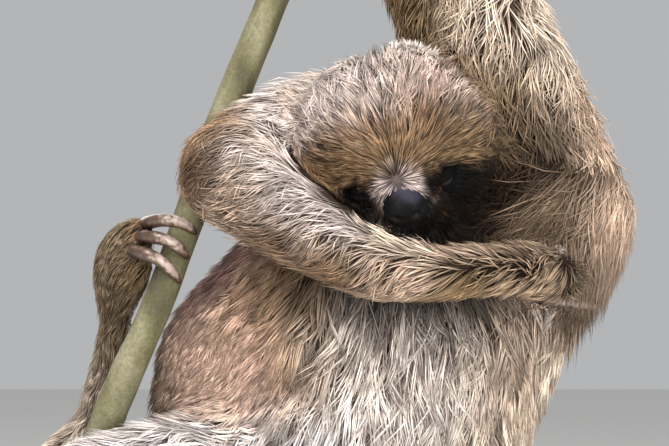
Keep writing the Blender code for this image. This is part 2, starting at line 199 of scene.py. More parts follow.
def setInputs(modifier, values):
    # values by the socket's name, set by its identifier
    sockets = {s.name: s.identifier for s in modifier.node_group.interface.items_tree
               if s.item_type == "SOCKET" and s.in_out == "INPUT"}
    for name, value in values.items():
        modifier[sockets[name]] = value


# A grid of distances to the solids tells where everything lies
gridSettings = {"pitch": 0.003, "margin": 0.018, "coarse": 4, "reach": 0.021, "soften": 2}


def cellCorners(part):
    # the eight corners of a cell: the step to each, and its share at a place in the cell
    for step in np.ndindex(2, 2, 2):
        share = np.where(step, part, 1 - part)
        yield step, share[:, 0] * share[:, 1] * share[:, 2]


class Grid:
    # values on a box of cells, read between its points

    def __init__(self, low, pitch, values):
        self.low = np.asarray(low, float)
        self.pitch = pitch
        self.values = values

    def at(self, points):
        where = (np.asarray(points, float) - self.low) / self.pitch
        top = np.array(self.values.shape[:3]) - 1.001
        where = np.clip(where, 0, top)
        cell = where.astype(int)
        total = 0
        for step, weight in cellCorners(where - cell):
            corner = self.values[tuple((cell + step).T)]
            total = total + corner * (weight[:, None] if corner.ndim > 1 else weight)
        return total


def soften(values, times):
    for _ in range(times):
        for axis in (0, 1, 2):
            low = np.roll(values, 1, axis)
            high = np.roll(values, -1, axis)
            values = values * 0.5 + (low + high) * 0.25
    return values


def joinedFlesh():
    points, tris, owner, start = [], [], [], 0
    for number, name in enumerate(fleshNodes):
        co, faces = meshArrays(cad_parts[name])
        points.append(co)
        tris.append(faces + start)
        owner.append(np.full(len(faces), number))
        start += len(co)
    return np.concatenate(points), np.concatenate(tris), np.concatenate(owner)


def coatHull():
    # the solids of flesh as one closed shape, and the node behind each face
    points, tris, owner = joinedFlesh()
    parts = BVHTree.FromPolygons(points.tolist(), tris.tolist())
    hull = newMesh("coatHull", points, tris)
    remesh = hull.modifiers.new("oneShape", "REMESH")
    remesh.mode = "VOXEL"
    remesh.voxel_size = gridSettings["pitch"] * 0.8
    hull = finishedCopy(hull, "coatHull")
    co, faces = meshArrays(hull)
    bpy.data.objects.remove(hull)
    middles = co[faces].mean(axis=1)
    behind = np.array([owner[parts.find_nearest(m)[2]] for m in middles.tolist()])
    return BVHTree.FromPolygons(co.tolist(), faces.tolist()), behind, co


def measured(tree, points):
    signed = np.empty(len(points))
    face = np.empty(len(points), int)
    find = tree.find_nearest
    for row, place in enumerate(points.tolist()):
        place = Vector(place)
        hit, normal, index, distance = find(place)
        signed[row] = distance if (place - hit).dot(normal) > 0 else -distance
        face[row] = index
    return signed, face


def distanceGrid():
    tree, behind, co = coatHull()
    pitch, coarse = gridSettings["pitch"], gridSettings["coarse"]
    low = co.min(axis=0) - gridSettings["margin"]
    cells = np.ceil((co.max(axis=0) + gridSettings["margin"] - low) / (pitch * coarse)).astype(int)
    wide = np.stack(np.meshgrid(*[np.arange(c + 1) for c in cells], indexing="ij"), -1)
    signed, face = measured(tree, low + wide.reshape(-1, 3) * pitch * coarse)
    rough = Grid(low, pitch * coarse, signed.reshape(wide.shape[:3]))
    fine = np.stack(np.meshgrid(*[np.arange(c * coarse + 1) for c in cells], indexing="ij"), -1)
    shape = fine.shape[:3]
    places = low + fine.reshape(-1, 3) * pitch
    values = rough.at(places)
    owner = behind[face].reshape(wide.shape[:3])
    nearest = np.clip((fine.reshape(-1, 3) + coarse // 2) // coarse, 0, cells)
    labels = owner[nearest[:, 0], nearest[:, 1], nearest[:, 2]]
    close = np.abs(values) < gridSettings["reach"]
    exact, face = measured(tree, places[close])
    values[close] = exact
    labels[close] = behind[face]
    return low, values.reshape(shape), labels.reshape(shape), places


# The head's own frame, from the eyes and the nose: sideways, upward and forward of the
# eyes' middle
faceSettings = {
    "noseBelowEyes": math.radians(9.3),   # how far the nose lies under the eyes' line
    "whorl": (-0.0008, 0.0085, 0.0120),   # where the hair parts
    "muzzle": (0.0000, -0.0040, 0.0080),
    "calm": 0.010, "full": 0.046,         # the coat grows from thin to full over this way
    "thinCoat": (0.0014, 0.0065, 0.00017, 0.12),
}


def faceFrame():
    eyes = [boxOf("eye_" + side).mean(axis=0) for side in ("right", "left")]
    nose = boxOf("nose").mean(axis=0)
    middle = (eyes[0] + eyes[1]) / 2
    sideways = unit(eyes[1] - eyes[0])
    rough = unit(nose - middle)
    up = unit(np.cross(sideways, rough))
    up = up if up[2] > 0 else -up
    tilt = faceSettings["noseBelowEyes"]
    forward = rough * math.cos(tilt) + up * math.sin(tilt)
    upward = up * math.cos(tilt) - rough * math.sin(tilt)
    return {"middle": middle, "axes": np.array([sideways, upward, forward]), "eyes": eyes, "nose": nose}


face = faceFrame()


def toFace(points):
    return (np.asarray(points) - face["middle"]) @ face["axes"].T


def fromEye(local):
    # from the middle of the nearer eye, in the face's frame
    return np.linalg.norm(mirrored(local) - toFace(face["eyes"][1]), axis=1)


def fromMuzzle(points):
    return np.linalg.norm(toFace(points) - np.array(faceSettings["muzzle"]), axis=1)


def faceNearness(points):
    # 1 at the nose and between the eyes, 0 over the rest of the head
    return 1 - ease(fromMuzzle(points), faceSettings["calm"], faceSettings["full"])


# The raised arm's hair hangs over the head beyond a line, as shares of the head's box
overHead = {"from": (0.49, 0.955), "to": (0.92, 0.66)}


def hangsOver(points):
    across, _, rise = inBox(points, "head")
    (x0, z0), (x1, z1) = overHead["from"], overHead["to"]
    return (across > x0) & (rise > z0 + (z1 - z0) * (across - x0) / (x1 - x0))


# The belly's short hair, low on the trunk's right side, in front: how its coat is, and
# where it begins and ends, as shares of the trunk's box
bellySettings = {
    "thinCoat": (0.0035, 0.0110, 0.00021, 0.26),
    "side": (0.27, 0.40), "front": (0.42, 0.60), "foot": (0.42, 0.50), "top": (0.74, 0.82),
    "wispsAt": (0.27, 0.645), "wispsReach": (0.10, 0.035), "wisps": 0.75,
}


def bellyNearness(points):
    # 1 where the belly's hair is short
    b = bellySettings
    across, deep, rise = inBox(points, "trunk")
    side = 1 - ease(across, *b["side"])
    front = 1 - ease(deep, *b["front"])
    (x, z), (wide, high) = b["wispsAt"], b["wispsReach"]
    wisps = b["wisps"] * np.exp(-((across - x) / wide) ** 2 - ((rise - z) / high) ** 2)
    return side * front * ease(rise, *b["foot"]) * (1 - ease(rise, *b["top"])) * (1 - wisps)


def buildFields():
    low, values, labels, places = distanceGrid()
    pitch = gridSettings["pitch"]
    values = soften(values, gridSettings["soften"])
    isHead = labels == fleshNodes.index("head")
    hanging = isHead & hangsOver(places).reshape(labels.shape)
    labels = np.where(hanging, fleshNodes.index("arm_left_upper"), labels)
    table = np.array([[coatOf[n][k] for k in ("depth", "hair", "girth", "unruly")] for n in fleshNodes])
    coat = table[labels]
    for node, nearness, s in (("head", faceNearness, faceSettings), ("trunk", bellyNearness, bellySettings)):
        near = nearness(places).reshape(labels.shape) * (labels == fleshNodes.index(node))
        for channel, small in enumerate(s["thinCoat"]):
            coat[..., channel] += (small - coat[..., channel]) * near
    coat = soften(coat, 5)
    partOf = np.array([partNames.index(coatOf[n]["part"]) for n in fleshNodes])
    shares = np.stack([(partOf[labels] == p).astype(float) for p in range(len(partNames))], -1)
    shares = soften(shares, 1)
    slope = np.stack(np.gradient(values, pitch), -1)
    stack = np.concatenate([values[..., None], slope, coat, shares], -1).astype(np.float32)
    return Grid(low, pitch, stack), Grid(low, pitch, values + coat[..., 0])


print("measuring the solids")
fields, skinGrid = buildFields()


def coatAt(points):
    read = fields.at(points)
    return {"out": read[:, 0], "normal": unit(read[:, 1:4]), "depth": read[:, 4], "hair": read[:, 5],
            "girth": read[:, 6], "unruly": read[:, 7], "shares": read[:, 8:]}


muzzleSettings = {
    "blend": 0.0022,
    "noseSize": (0.0082, 0.0070, 0.0042), "noseBlend": 0.0034,
    "noseLobe": (0.0036, -0.0003, 0.0004), "lobeSize": (0.0046, 0.0060, 0.0042),
    "socketSize": 0.0071,
}

# Folds and swellings of the skin, one half of the face: from, to, height and spread
foldSettings = {
    "brow": ((0.0090, 0.0090, 0.0090), (0.0240, 0.0090, 0.0020), 0.0016, 0.0034),
    "browFold": ((0.0100, 0.0062, 0.0095), (0.0235, 0.0058, 0.0020), -0.0006, 0.0009),
    "lip": ((0.0030, -0.0120, 0.0160), (0.0120, -0.0115, 0.0080), 0.0012, 0.0036),
    "tearFold": ((0.0088, -0.0020, 0.0120), (0.0110, -0.0075, 0.0115), -0.0008, 0.0010),
    "cheekFold": ((0.0130, -0.0075, 0.0080), (0.0200, -0.0080, 0.0010), -0.0006, 0.0012),
    "mouth": ((0.0000, -0.0150, 0.0165), (0.0110, -0.0150, 0.0090), -0.0010, 0.0011),
    "mouthCorner": ((0.0110, -0.0150, 0.0090), (0.0190, -0.0120, 0.0010), -0.0008, 0.0011),
    "philtrum": ((0.0000, -0.0070, 0.0195), (0.0000, -0.0140, 0.0165), -0.0007, 0.0008),
    "nostril": ((0.0034, -0.0060, 0.0192), (0.0043, -0.0055, 0.0184), -0.0026, 0.0012),
    "nostrilTail": ((0.0043, -0.0055, 0.0184), (0.0068, -0.0036, 0.0168), -0.0012, 0.0008),
}


def ellipsoid(local, centre, size):
    size = np.asarray(size)
    away = (local - np.asarray(centre)) / size
    reach = np.linalg.norm(away, axis=1)
    return (reach - 1) * reach / np.maximum(np.linalg.norm(away / size, axis=1), 1e-6)


def fromLine(local, start, end):
    start, end = np.asarray(start), np.asarray(end)
    way = end - start
    along = np.clip((local - start) @ way / max(way @ way, 1e-12), 0, 1)
    return np.linalg.norm(local - start - along[:, None] * way, axis=1)


def merged(a, b, blend):
    mix = np.clip(0.5 + 0.5 * (b - a) / blend, 0, 1)
    return b + (a - b) * mix - blend * mix * (1 - mix)


def carved(a, b, blend):
    return -merged(-a, b, blend)


def skinShape(points):
    # below 0 inside the skin
    shape = skinGrid.at(points)
    local = toFace(points)
    near = np.linalg.norm(local, axis=1) < 0.045
    if not near.any():
        return shape
    m = muzzleSettings
    close, base = local[near], shape[near]
    half = mirrored(close)
    nose = toFace(face["nose"])
    pad = ellipsoid(close, nose, m["noseSize"])
    pad = merged(pad, ellipsoid(half, nose + m["noseLobe"], m["lobeSize"]), 0.0010)
    socket = fromEye(close) - m["socketSize"]
    base = carved(base, socket, m["blend"])
    base = merged(base, pad, m["noseBlend"])
    for start, end, height, spread in foldSettings.values():
        base = base - height * np.exp(-(fromLine(half, start, end) / spread) ** 2)
    shape = shape.copy()
    shape[near] = base
    return shape


def slopeOf(shape, points, step=0.0004):
    moves = np.eye(3) * step
    return np.stack([(shape(points + m) - shape(points - m)) / (2 * step) for m in moves], -1)


def settleOn(shape, points, times):
    for _ in range(times):
        slope = slopeOf(shape, points)
        steep = np.maximum((slope ** 2).sum(axis=1), 0.09)
        points = points - slope * (shape(points) / steep)[:, None] * 0.9
    return points


def surfaceNet(grid):
    # a closed net of quads where the grid's values pass 0
    values = grid.values
    inside = values < 0
    shape = np.array(values.shape)
    total = np.zeros(tuple(shape - 1) + (3,))
    count = np.zeros(tuple(shape - 1))
    crossings = []
    for axis in (0, 1, 2):
        others = [a for a in (0, 1, 2) if a != axis]
        first = [slice(None)] * 3
        second = [slice(None)] * 3
        first[axis], second[axis] = slice(0, -1), slice(1, None)
        a, b = values[tuple(first)], values[tuple(second)]
        cross = inside[tuple(first)] != inside[tuple(second)]
        where = np.argwhere(cross)
        part = (a / np.where(a == b, 1, a - b))[cross]
        place = where.astype(float)
        place[:, axis] += part
        crossings.append((axis, others, where, inside[tuple(first)][cross]))
        for i in (0, 1):
            for j in (0, 1):
                cell = where.copy()
                cell[:, others[0]] -= i
                cell[:, others[1]] -= j
                good = ((cell >= 0) & (cell < shape - 1)).all(axis=1)
                index = tuple(cell[good].T)
                np.add.at(total, index, place[good])
                np.add.at(count, index, 1)
    used = count > 0
    number = np.full(count.shape, -1)
    number[used] = np.arange(used.sum())
    points = grid.low + total[used] / count[used][:, None] * grid.pitch
    quads = []
    for axis, others, where, startsInside in crossings:
        corners = []
        for i, j in ((0, 0), (1, 0), (1, 1), (0, 1)):
            cell = where.copy()
            cell[:, others[0]] -= i
            cell[:, others[1]] -= j
            corners.append(number[tuple(cell.T)])
        quad = np.stack(corners, 1)
        turn = startsInside if axis != 1 else ~startsInside
        quad[~turn] = quad[~turn][:, ::-1]
        quads.append(quad)
    return points, np.concatenate(quads)


# The face is cut finer in rounds, each nearer to the muzzle
skinSettings = {"fineReach": (0.036, 0.030, 0.024), "smoothRounds": 4}


def buildSkin():
    points, quads = surfaceNet(skinGrid)
    skin = newMesh("skin", points, quads)
    net = bmesh.new()
    net.from_mesh(skin.data)
    loose = [v for v in net.verts if not v.link_faces]
    bmesh.ops.delete(net, geom=loose, context="VERTS")
    for reach in skinSettings["fineReach"]:
        near = fromMuzzle(np.array([v.co for v in net.verts])) < reach
        net.verts.ensure_lookup_table()
        edges = [e for e in net.edges if near[e.verts[0].index] and near[e.verts[1].index]]
        bmesh.ops.subdivide_edges(net, edges=edges, cuts=1, use_grid_fill=True)
        net.verts.index_update()
    bmesh.ops.triangulate(net, faces=[f for f in net.faces if len(f.verts) > 4])
    bmesh.ops.recalc_face_normals(net, faces=net.faces)
    for _ in range(skinSettings["smoothRounds"]):
        bmesh.ops.smooth_vert(net, verts=net.verts, factor=0.5,
                              use_axis_x=True, use_axis_y=True, use_axis_z=True)
        co = settleOn(skinShape, np.array([v.co for v in net.verts]), 2)
        for vert, place in zip(net.verts, co):
            vert.co = place
    net.to_mesh(skin.data)
    net.free()
    skin.data.update()
    return skin


print("growing the skin")
skin = buildSkin()


# A wet ball each, with an upper and a lower lid of skin
eyeSettings = {
    "outward": 0.50, "downward": 0.06,    # which way they look, beside straight ahead
    "slant": math.radians(9),             # the outer corner lies higher
    "corner": math.radians(50),           # half the slit's width, as an angle on the ball
    "upperRise": math.radians(4), "lowerDrop": math.radians(8), "slit": math.radians(-3),
    "lidEnd": math.radians(72), "lidSide": math.radians(80),
    "lidGap": 0.00015, "lidEdge": 0.00065, "lidSwell": 0.0016, "lidFold": 0.00028, "folds": 2.5,
    "irisAngle": math.radians(42), "pupilAngle": math.radians(13), "corneaRise": 0.0004,
    "pupil": (0.002, 0.002, 0.002),
    "colours": [(0.30, (0.016, 0.008, 0.005)), (0.55, (0.010, 0.005, 0.003)), (0.68, (0.003, 0.002, 0.002)),
                (0.85, (0.020, 0.014, 0.012))],    # outwards from the pupil, over 1.5 times the iris
    "look": {"Roughness": 0.18, "Coat Weight": 0.06, "Specular IOR Level": 0.15, "Coat Roughness": 0.03},
}


def eyeAxes(number):
    side = -1 if number == 0 else 1
    e = eyeSettings
    sideways, up, forward = face["axes"]
    gaze = unit(forward + sideways * side * e["outward"] - up * e["downward"])
    outward = unit(sideways * side - gaze * (sideways * side @ gaze))
    above = unit(up - gaze * (up @ gaze) - outward * (up @ outward))
    across = outward * math.cos(e["slant"]) + above * math.sin(e["slant"])
    above = above * math.cos(e["slant"]) - outward * math.sin(e["slant"])
    return gaze, across, above


def eyeRadius():
    low, high = boxOf("eye_left")
    return max(high - low) / 2


def buildEye(name, node, number):
    e = eyeSettings
    gaze, across, above = eyeAxes(number)
    centre, radius = face["eyes"][number], eyeRadius()
    rings, sides = 40, 48
    turn = np.arange(sides) / sides * 2 * math.pi
    angles = np.linspace(0, math.pi, rings + 1)[1:-1]
    bulge = radius + e["corneaRise"] * (1 - ease(angles, 0, e["irisAngle"]))
    ring = np.cos(turn)[:, None] * across + np.sin(turn)[:, None] * above
    points = [centre + gaze * (radius + e["corneaRise"])]
    shade = [0.0]
    for angle, r in zip(angles, bulge):
        points.extend(centre + gaze * math.cos(angle) * r + ring * math.sin(angle) * r)
        shade.extend([angle] * sides)
    points.append(centre - gaze * radius)
    shade.append(math.pi)
    last = len(points) - 1
    faces = [(0, 1 + k, 1 + (k + 1) % sides) for k in range(sides)]
    for row in range(len(angles) - 1):
        a, b = 1 + row * sides, 1 + (row + 1) * sides
        faces += [(a + k, b + k, b + (k + 1) % sides, a + (k + 1) % sides) for k in range(sides)]
    faces += [(last, last - sides + (k + 1) % sides, last - sides + k) for k in range(sides)]
    eye = meshObject(name, points, faces)
    if number == 0:
        eye.data.flip_normals()
    setPoints(eye, "fromGaze", shade)
    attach(eye, "root")
    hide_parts(node)
    return eye


def lidSheet(number, upper):
    # one lid as a closed shell round the ball, from its edge out under the skin
    e = eyeSettings
    gaze, across, above = eyeAxes(number)
    centre, radius = face["eyes"][number], eyeRadius()
    columns, rows = 41, 16
    side = np.linspace(-e["lidSide"], e["lidSide"], columns)
    opening = np.maximum(np.cos(np.clip(side / e["corner"], -1, 1) * math.pi / 2), 0) ** 0.8
    edge = e["slit"] + (e["upperRise"] if upper else -e["lowerDrop"]) * opening
    end = (e["lidEnd"] if upper else -e["lidEnd"]) * np.cos(side * 0.55) ** 0.5
    down = np.linspace(0, 1, rows)[:, None]
    rise = edge + (end - edge) * down
    fold = np.sin(down * e["folds"] * 2 * math.pi) * np.sin(down * math.pi) * e["lidFold"]
    outer = radius + e["lidEdge"] * (0.55 + 0.45 * ease(down, 0, 0.12)) + e["lidSwell"] * down ** 2 + fold
    inner = radius + e["lidGap"] + 0 * down
    direction = (np.cos(rise)[..., None] * np.cos(side)[None, :, None] * gaze
                 + np.cos(rise)[..., None] * np.sin(side)[None, :, None] * across
                 + np.sin(rise)[..., None] * above)
    front = centre + direction * (outer[..., None] + 0 * direction)
    back = centre + direction * (inner[..., None] + 0 * direction)
    points = np.concatenate([front.reshape(-1, 3), back.reshape(-1, 3)])
    count = rows * columns
    index = np.arange(count).reshape(rows, columns)
    quads = np.stack([index[:-1, :-1], index[:-1, 1:], index[1:, 1:], index[1:, :-1]], -1).reshape(-1, 4)
    rim = np.concatenate([index[0, :-1], index[:-1, -1], index[-1, :0:-1], index[:0:-1, 0]])
    after = np.roll(rim, -1)
    walls = np.stack([after, rim, rim + count, after + count], -1)
    return points, np.concatenate([quads, quads[:, ::-1] + count, walls])


def addLids(skin):
    # the lids become part of the skin's own mesh
    lids = []
    for number in (0, 1):
        for upper in (True, False):
            points, quads = lidSheet(number, upper)
            lid = newMesh("lid", points, quads)
            shell = bmesh.new()
            shell.from_mesh(lid.data)
            bmesh.ops.recalc_face_normals(shell, faces=shell.faces)
            shell.to_mesh(lid.data)
            shell.free()
            lids.append(lid)
    with bpy.context.temp_override(active_object=skin, selected_editable_objects=[skin] + lids):
        bpy.ops.object.join()
    return skin


print("setting the eyes and their lids")
eyeballs = [buildEye("eyeballRight", "eye_right", 0), buildEye("eyeballLeft", "eye_left", 1)]
bareSkin = len(skin.data.vertices)
skin = addLids(skin)


# How the coat lies on each node, as strokes of a comb: where in the node's box, which way
# the tips point, and the shade of hair there
strokes = {
    "arm_right_upper": [
        ((0.85, 0.50, 0.90), (-0.8, -0.4, 0.1), "wheat"),
        ((0.45, 0.10, 0.60), (-0.8, -0.5, -0.1), "pearl"),
        ((0.08, 0.10, 0.40), (-0.8, -0.2, -0.5), "hazel"),
        ((0.20, 0.50, 0.95), (-0.9, -0.2, 0.2), "pearl"),
        ((0.30, 0.90, 0.30), (-0.8, 0.1, -0.6), "greyBrown"),
    ],
    "arm_right_lower": [
        ((0.03, 0.30, 0.70), (-0.5, -0.1, -0.9), "umber"),
        ((0.15, 0.10, 0.85), (-0.9, 0.0, -0.1), "pearl"),
        ((0.12, 0.15, 0.50), (-0.9, 0.0, -0.2), "fawn"),
        ((0.30, 0.05, 0.62), (-0.95, 0.0, 0.20), "pearl"),
        ((0.22, 0.10, 0.28), (-0.8, 0.0, -0.5), "hazel"),
        ((0.45, 0.00, 0.45), (-0.9, 0.0, -0.10), "pearl"),
        ((0.40, 0.05, 0.15), (-0.6, 0.0, -0.75), "hazel"),
        ((0.60, 0.05, 0.40), (-0.9, 0.0, -0.15), "wheat"),
        ((0.60, 0.05, 0.12), (-0.5, 0.0, -0.85), "fawn"),
        ((0.78, 0.15, 0.35), (-0.9, 0.0, -0.30), "fawn"),
        ((0.78, 0.20, 0.05), (-0.6, 0.0, -0.80), "olive"),
        ((0.95, 0.30, 0.30), (-1.0, 0.0, -0.1), "smoke"),
        ((0.40, 0.90, 0.40), (-0.8, 0.0, -0.2), "umber"),
    ],
    "hand_right": [
        ((0.30, 0.20, 0.50), (-0.8, -0.4, -0.2), "smoke"),
        ((0.90, 0.80, 0.50), (0.7, 0.6, 0.0), "greyBrown"),
    ],
    "arm_left_upper": [
        # The first four strokes are painted shade: a dark band of shadow where the raised arm's hair hangs
        # over the head
        ((0.19, -0.21, 0.54), (-0.6, -0.3, -0.5), "russet"),
        ((0.26, -0.28, 0.51), (-0.6, -0.3, -0.5), "umber"),
        ((0.34, -0.21, 0.48), (-0.6, -0.3, -0.6), "umber"),
        ((0.43, -0.09, 0.44), (-0.5, -0.3, -0.7), "olive"),
        ((0.44, 0.20, 0.20), (-0.6, -0.3, -0.6), "soot"),
        ((0.50, 0.25, 0.19), (-0.6, -0.3, -0.6), "russet"),
        ((0.55, 0.28, 0.24), (-0.5, -0.3, -0.8), "russet"),
        ((0.10, 0.10, 0.75), (-0.7, -0.2, -0.4), "olive"),
        ((0.14, 0.10, 0.62), (-0.6, -0.2, -0.7), "olive"),
        ((0.28, 0.05, 0.52), (-0.3, -0.2, -0.9), "hazel"),
        ((0.30, 0.05, 0.90), (-0.5, -0.2, -0.6), "smoke"),
        ((0.10, 0.50, 0.95), (-0.7, 0.2, -0.5), "olive"),
        ((0.45, 0.05, 0.65), (-0.2, -0.2, -0.9), "wheat"),
        ((0.75, 0.10, 0.65), (0.7, -0.1, -0.5), "wheat"),
        ((0.95, 0.40, 0.30), (0.3, 0.0, -0.9), "fawn"),
        ((0.60, 0.10, 0.20), (0.1, -0.1, -1.0), "smoke"),
        ((0.50, 0.95, 0.50), (0.0, 0.1, -1.0), "greyBrown"),
    ],
    "arm_left_lower": [
        ((0.10, 0.30, 0.20), (-0.5, -0.2, -0.7), "smoke"),
        ((0.80, 0.30, 0.30), (0.5, -0.1, -0.8), "wheat"),
        ((0.70, 0.50, 0.90), (-0.2, 0.0, -0.9), "greyBrown"),
        ((0.50, 0.95, 0.40), (0.0, 0.1, -1.0), "greyBrown"),
    ],
    "hand_left": [
        ((0.50, 0.50, 0.50), (-0.1, 0.1, 0.9), "greyBrown"),
    ],
    "neck": [
        ((0.50, 0.20, 0.50), (-0.3, -0.3, -0.8), "fawn"),
        ((0.50, 0.90, 0.60), (0.0, 0.4, -0.9), "greyBrown"),
    ],
    "trunk": [
        # The eight dark rows below are painted shade: the shadow the forearm casts across the top of the
        # chest
        ((0.34, 0.02, 0.640), (-0.4, -0.1, -0.9), "russet"),
        ((0.46, 0.00, 0.635), (-0.15, -0.2, -1.0), "mask"),
        ((0.58, 0.00, 0.630), (-0.1, -0.2, -1.0), "mask"),
        ((0.69, 0.02, 0.625), (0.1, -0.1, -1.0), "soot"),
        ((0.40, 0.00, 0.618), (-0.3, -0.1, -1.0), "russet"),
        ((0.53, 0.00, 0.613), (-0.1, -0.1, -1.0), "russet"),
        ((0.64, 0.00, 0.606), (0.0, -0.1, -1.0), "russet"),
        ((0.75, 0.02, 0.600), (0.1, -0.1, -1.0), "umber"),
        ((0.42, 0.00, 0.590), (-0.25, 0.0, -1.0), "cream"),
        ((0.54, 0.00, 0.586), (-0.10, 0.0, -1.0), "cream"),
        ((0.65, 0.00, 0.579), (0.0, 0.0, -1.0), "cream"),
        ((0.75, 0.02, 0.572), (0.1, 0.0, -1.0), "wheat"),
        ((0.42, 0.00, 0.48), (-0.25, 0.0, -1.0), "cream"),
        ((0.60, 0.00, 0.47), (0.15, 0.0, -1.0), "cream"),
        ((0.84, 0.08, 0.54), (0.25, 0.0, -1.0), "fawn"),
        ((0.78, 0.10, 0.40), (0.40, 0.0, -0.9), "wheat"),
        ((0.60, 0.00, 0.34), (0.25, 0.0, -1.0), "cream"),
        ((0.88, 0.10, 0.88), (0.1, -0.1, -1.0), "smoke"),
        ((0.94, 0.20, 0.75), (0.15, 0.0, -1.0), "fawn"),
        ((0.88, 0.08, 0.66), (0.15, 0.0, -1.0), "cream"),
        ((0.97, 0.40, 0.50), (0.2, 0.0, -1.0), "wheat"),
        ((0.64, 0.05, 0.76), (0.5, -0.3, -0.6), "mask"),
        ((0.70, 0.05, 0.82), (0.5, -0.3, -0.6), "russet"),
        ((0.76, 0.08, 0.76), (0.6, -0.2, -0.5), "umber"),
        ((0.74, 0.05, 0.80), (0.5, -0.2, -0.7), "russet"),
        ((0.54, 0.05, 0.73), (0.2, -0.3, -0.8), "mask"),
        ((0.62, 0.05, 0.71), (0.3, -0.3, -0.8), "soot"),
        ((0.05, 0.20, 0.60), (-0.7, 0.2, -0.5), "tan"),
        ((0.13, 0.05, 0.60), (-0.7, 0.0, -0.6), "tan"),
        ((0.21, 0.03, 0.56), (-0.6, 0.0, -0.7), "tan"),
        ((0.08, 0.10, 0.50), (-0.6, 0.0, -0.7), "tan"),
        ((0.19, 0.03, 0.49), (-0.5, 0.0, -0.8), "tan"),
        ((0.29, 0.00, 0.57), (-0.6, 0.0, -0.7), "hazel"),
        ((0.31, 0.00, 0.51), (-0.5, 0.0, -0.8), "hazel"),
        ((0.36, 0.00, 0.58), (-0.4, -0.1, -0.9), "wheat"),
        ((0.32, 0.03, 0.69), (-0.6, -0.1, -0.8), "russet"),
        ((0.28, 0.03, 0.655), (-0.85, -0.1, -0.5), "olive"),
        ((0.25, 0.03, 0.625), (-0.85, -0.1, -0.5), "hazel"),
        ((0.18, 0.08, 0.65), (-0.9, -0.1, -0.35), "hazel"),
        ((0.34, 0.00, 0.615), (-0.7, -0.1, -0.7), "olive"),
        ((0.24, 0.05, 0.72), (-0.6, -0.1, -0.8), "mauve"),
        ((0.12, 0.25, 0.74), (-0.5, 0.0, -0.9), "mauve"),
        ((0.08, 0.30, 0.68), (-0.4, 0.0, -0.9), "mauve"),
        ((0.10, 0.05, 0.42), (-0.6, 0.0, -0.8), "blush"),
        ((0.25, 0.00, 0.43), (-0.5, 0.0, -0.8), "blush"),
        ((0.36, 0.00, 0.43), (-0.4, 0.0, -0.9), "blush"),
        ((0.00, 0.60, 0.50), (-0.2, 0.3, -0.9), "greyBrown"),
        ((0.20, 0.95, 0.80), (-0.1, 0.0, -1.0), "greyBrown"),
        ((0.50, 1.00, 0.80), (0.0, 0.1, -1.0), "fawn"),
        ((0.85, 0.95, 0.80), (0.1, 0.0, -1.0), "greyBrown"),
        ((0.50, 1.00, 0.50), (0.0, 0.0, -1.0), "smoke"),
        ((0.20, 0.90, 0.40), (-0.1, 0.0, -1.0), "fawn"),
        ((0.80, 0.90, 0.40), (0.1, 0.0, -1.0), "fawn"),
        ((0.50, 0.90, 0.20), (0.0, 0.1, -1.0), "greyBrown"),
        ((0.50, 0.10, 0.15), (0.0, -0.1, -1.0), "wheat"),
    ],
    "tail": [
        ((0.50, 0.60, 0.40), (0.05, 0.6, -0.7), "greyBrown"),
    ],
    "leg_right_upper": [
        ((0.30, 0.00, 0.90), (-0.8, -0.1, -0.4), "blush"),
        ((0.60, 0.05, 0.90), (-0.7, 0.0, -0.5), "blush"),
        ((0.90, 0.20, 0.80), (-0.6, 0.0, -0.7), "blush"),
        ((0.05, 0.30, 0.50), (-0.6, 0.4, -0.4), "blush"),
        ((0.50, 0.20, 0.10), (-0.5, 0.0, -0.9), "wheat"),
        ((0.50, 0.95, 0.50), (-0.6, 0.2, -0.6), "greyBrown"),
    ],
    "leg_right_lower": [
        ((0.20, 0.50, 0.20), (-0.5, 0.2, -0.7), "blush"),
        ((0.40, 0.50, 0.45), (-0.3, 0.1, -0.9), "wheat"),
        ((0.70, 0.30, 0.90), (-0.1, 0.0, -0.9), "greyBrown"),
    ],
    "foot_right": [
        ((0.30, 0.30, 0.25), (-0.2, -0.1, -0.9), "greyBrown"),
        ((0.35, 0.20, 0.70), (-0.5, -0.1, -0.7), "greyBrown"),
        ((0.85, 0.20, 0.80), (-0.8, -0.1, -0.2), "hazel"),
        ((0.75, 0.20, 0.45), (-0.2, -0.1, -0.9), "olive"),
    ],
    "leg_left_upper": [
        ((0.30, 0.05, 0.60), (-0.5, -0.2, -0.8), "wheat"),
        ((0.85, 0.40, 0.50), (0.1, 0.0, -1.0), "fawn"),
    ],
    "leg_left_lower": [
        ((0.50, 0.20, 0.50), (-0.6, 0.1, -0.7), "fawn"),
        ((0.10, 0.80, 0.50), (-0.6, 0.3, -0.6), "greyBrown"),
    ],
    "foot_left": [
        ((0.40, 0.50, 0.50), (-0.6, 0.5, -0.2), "greyBrown"),
    ],
}

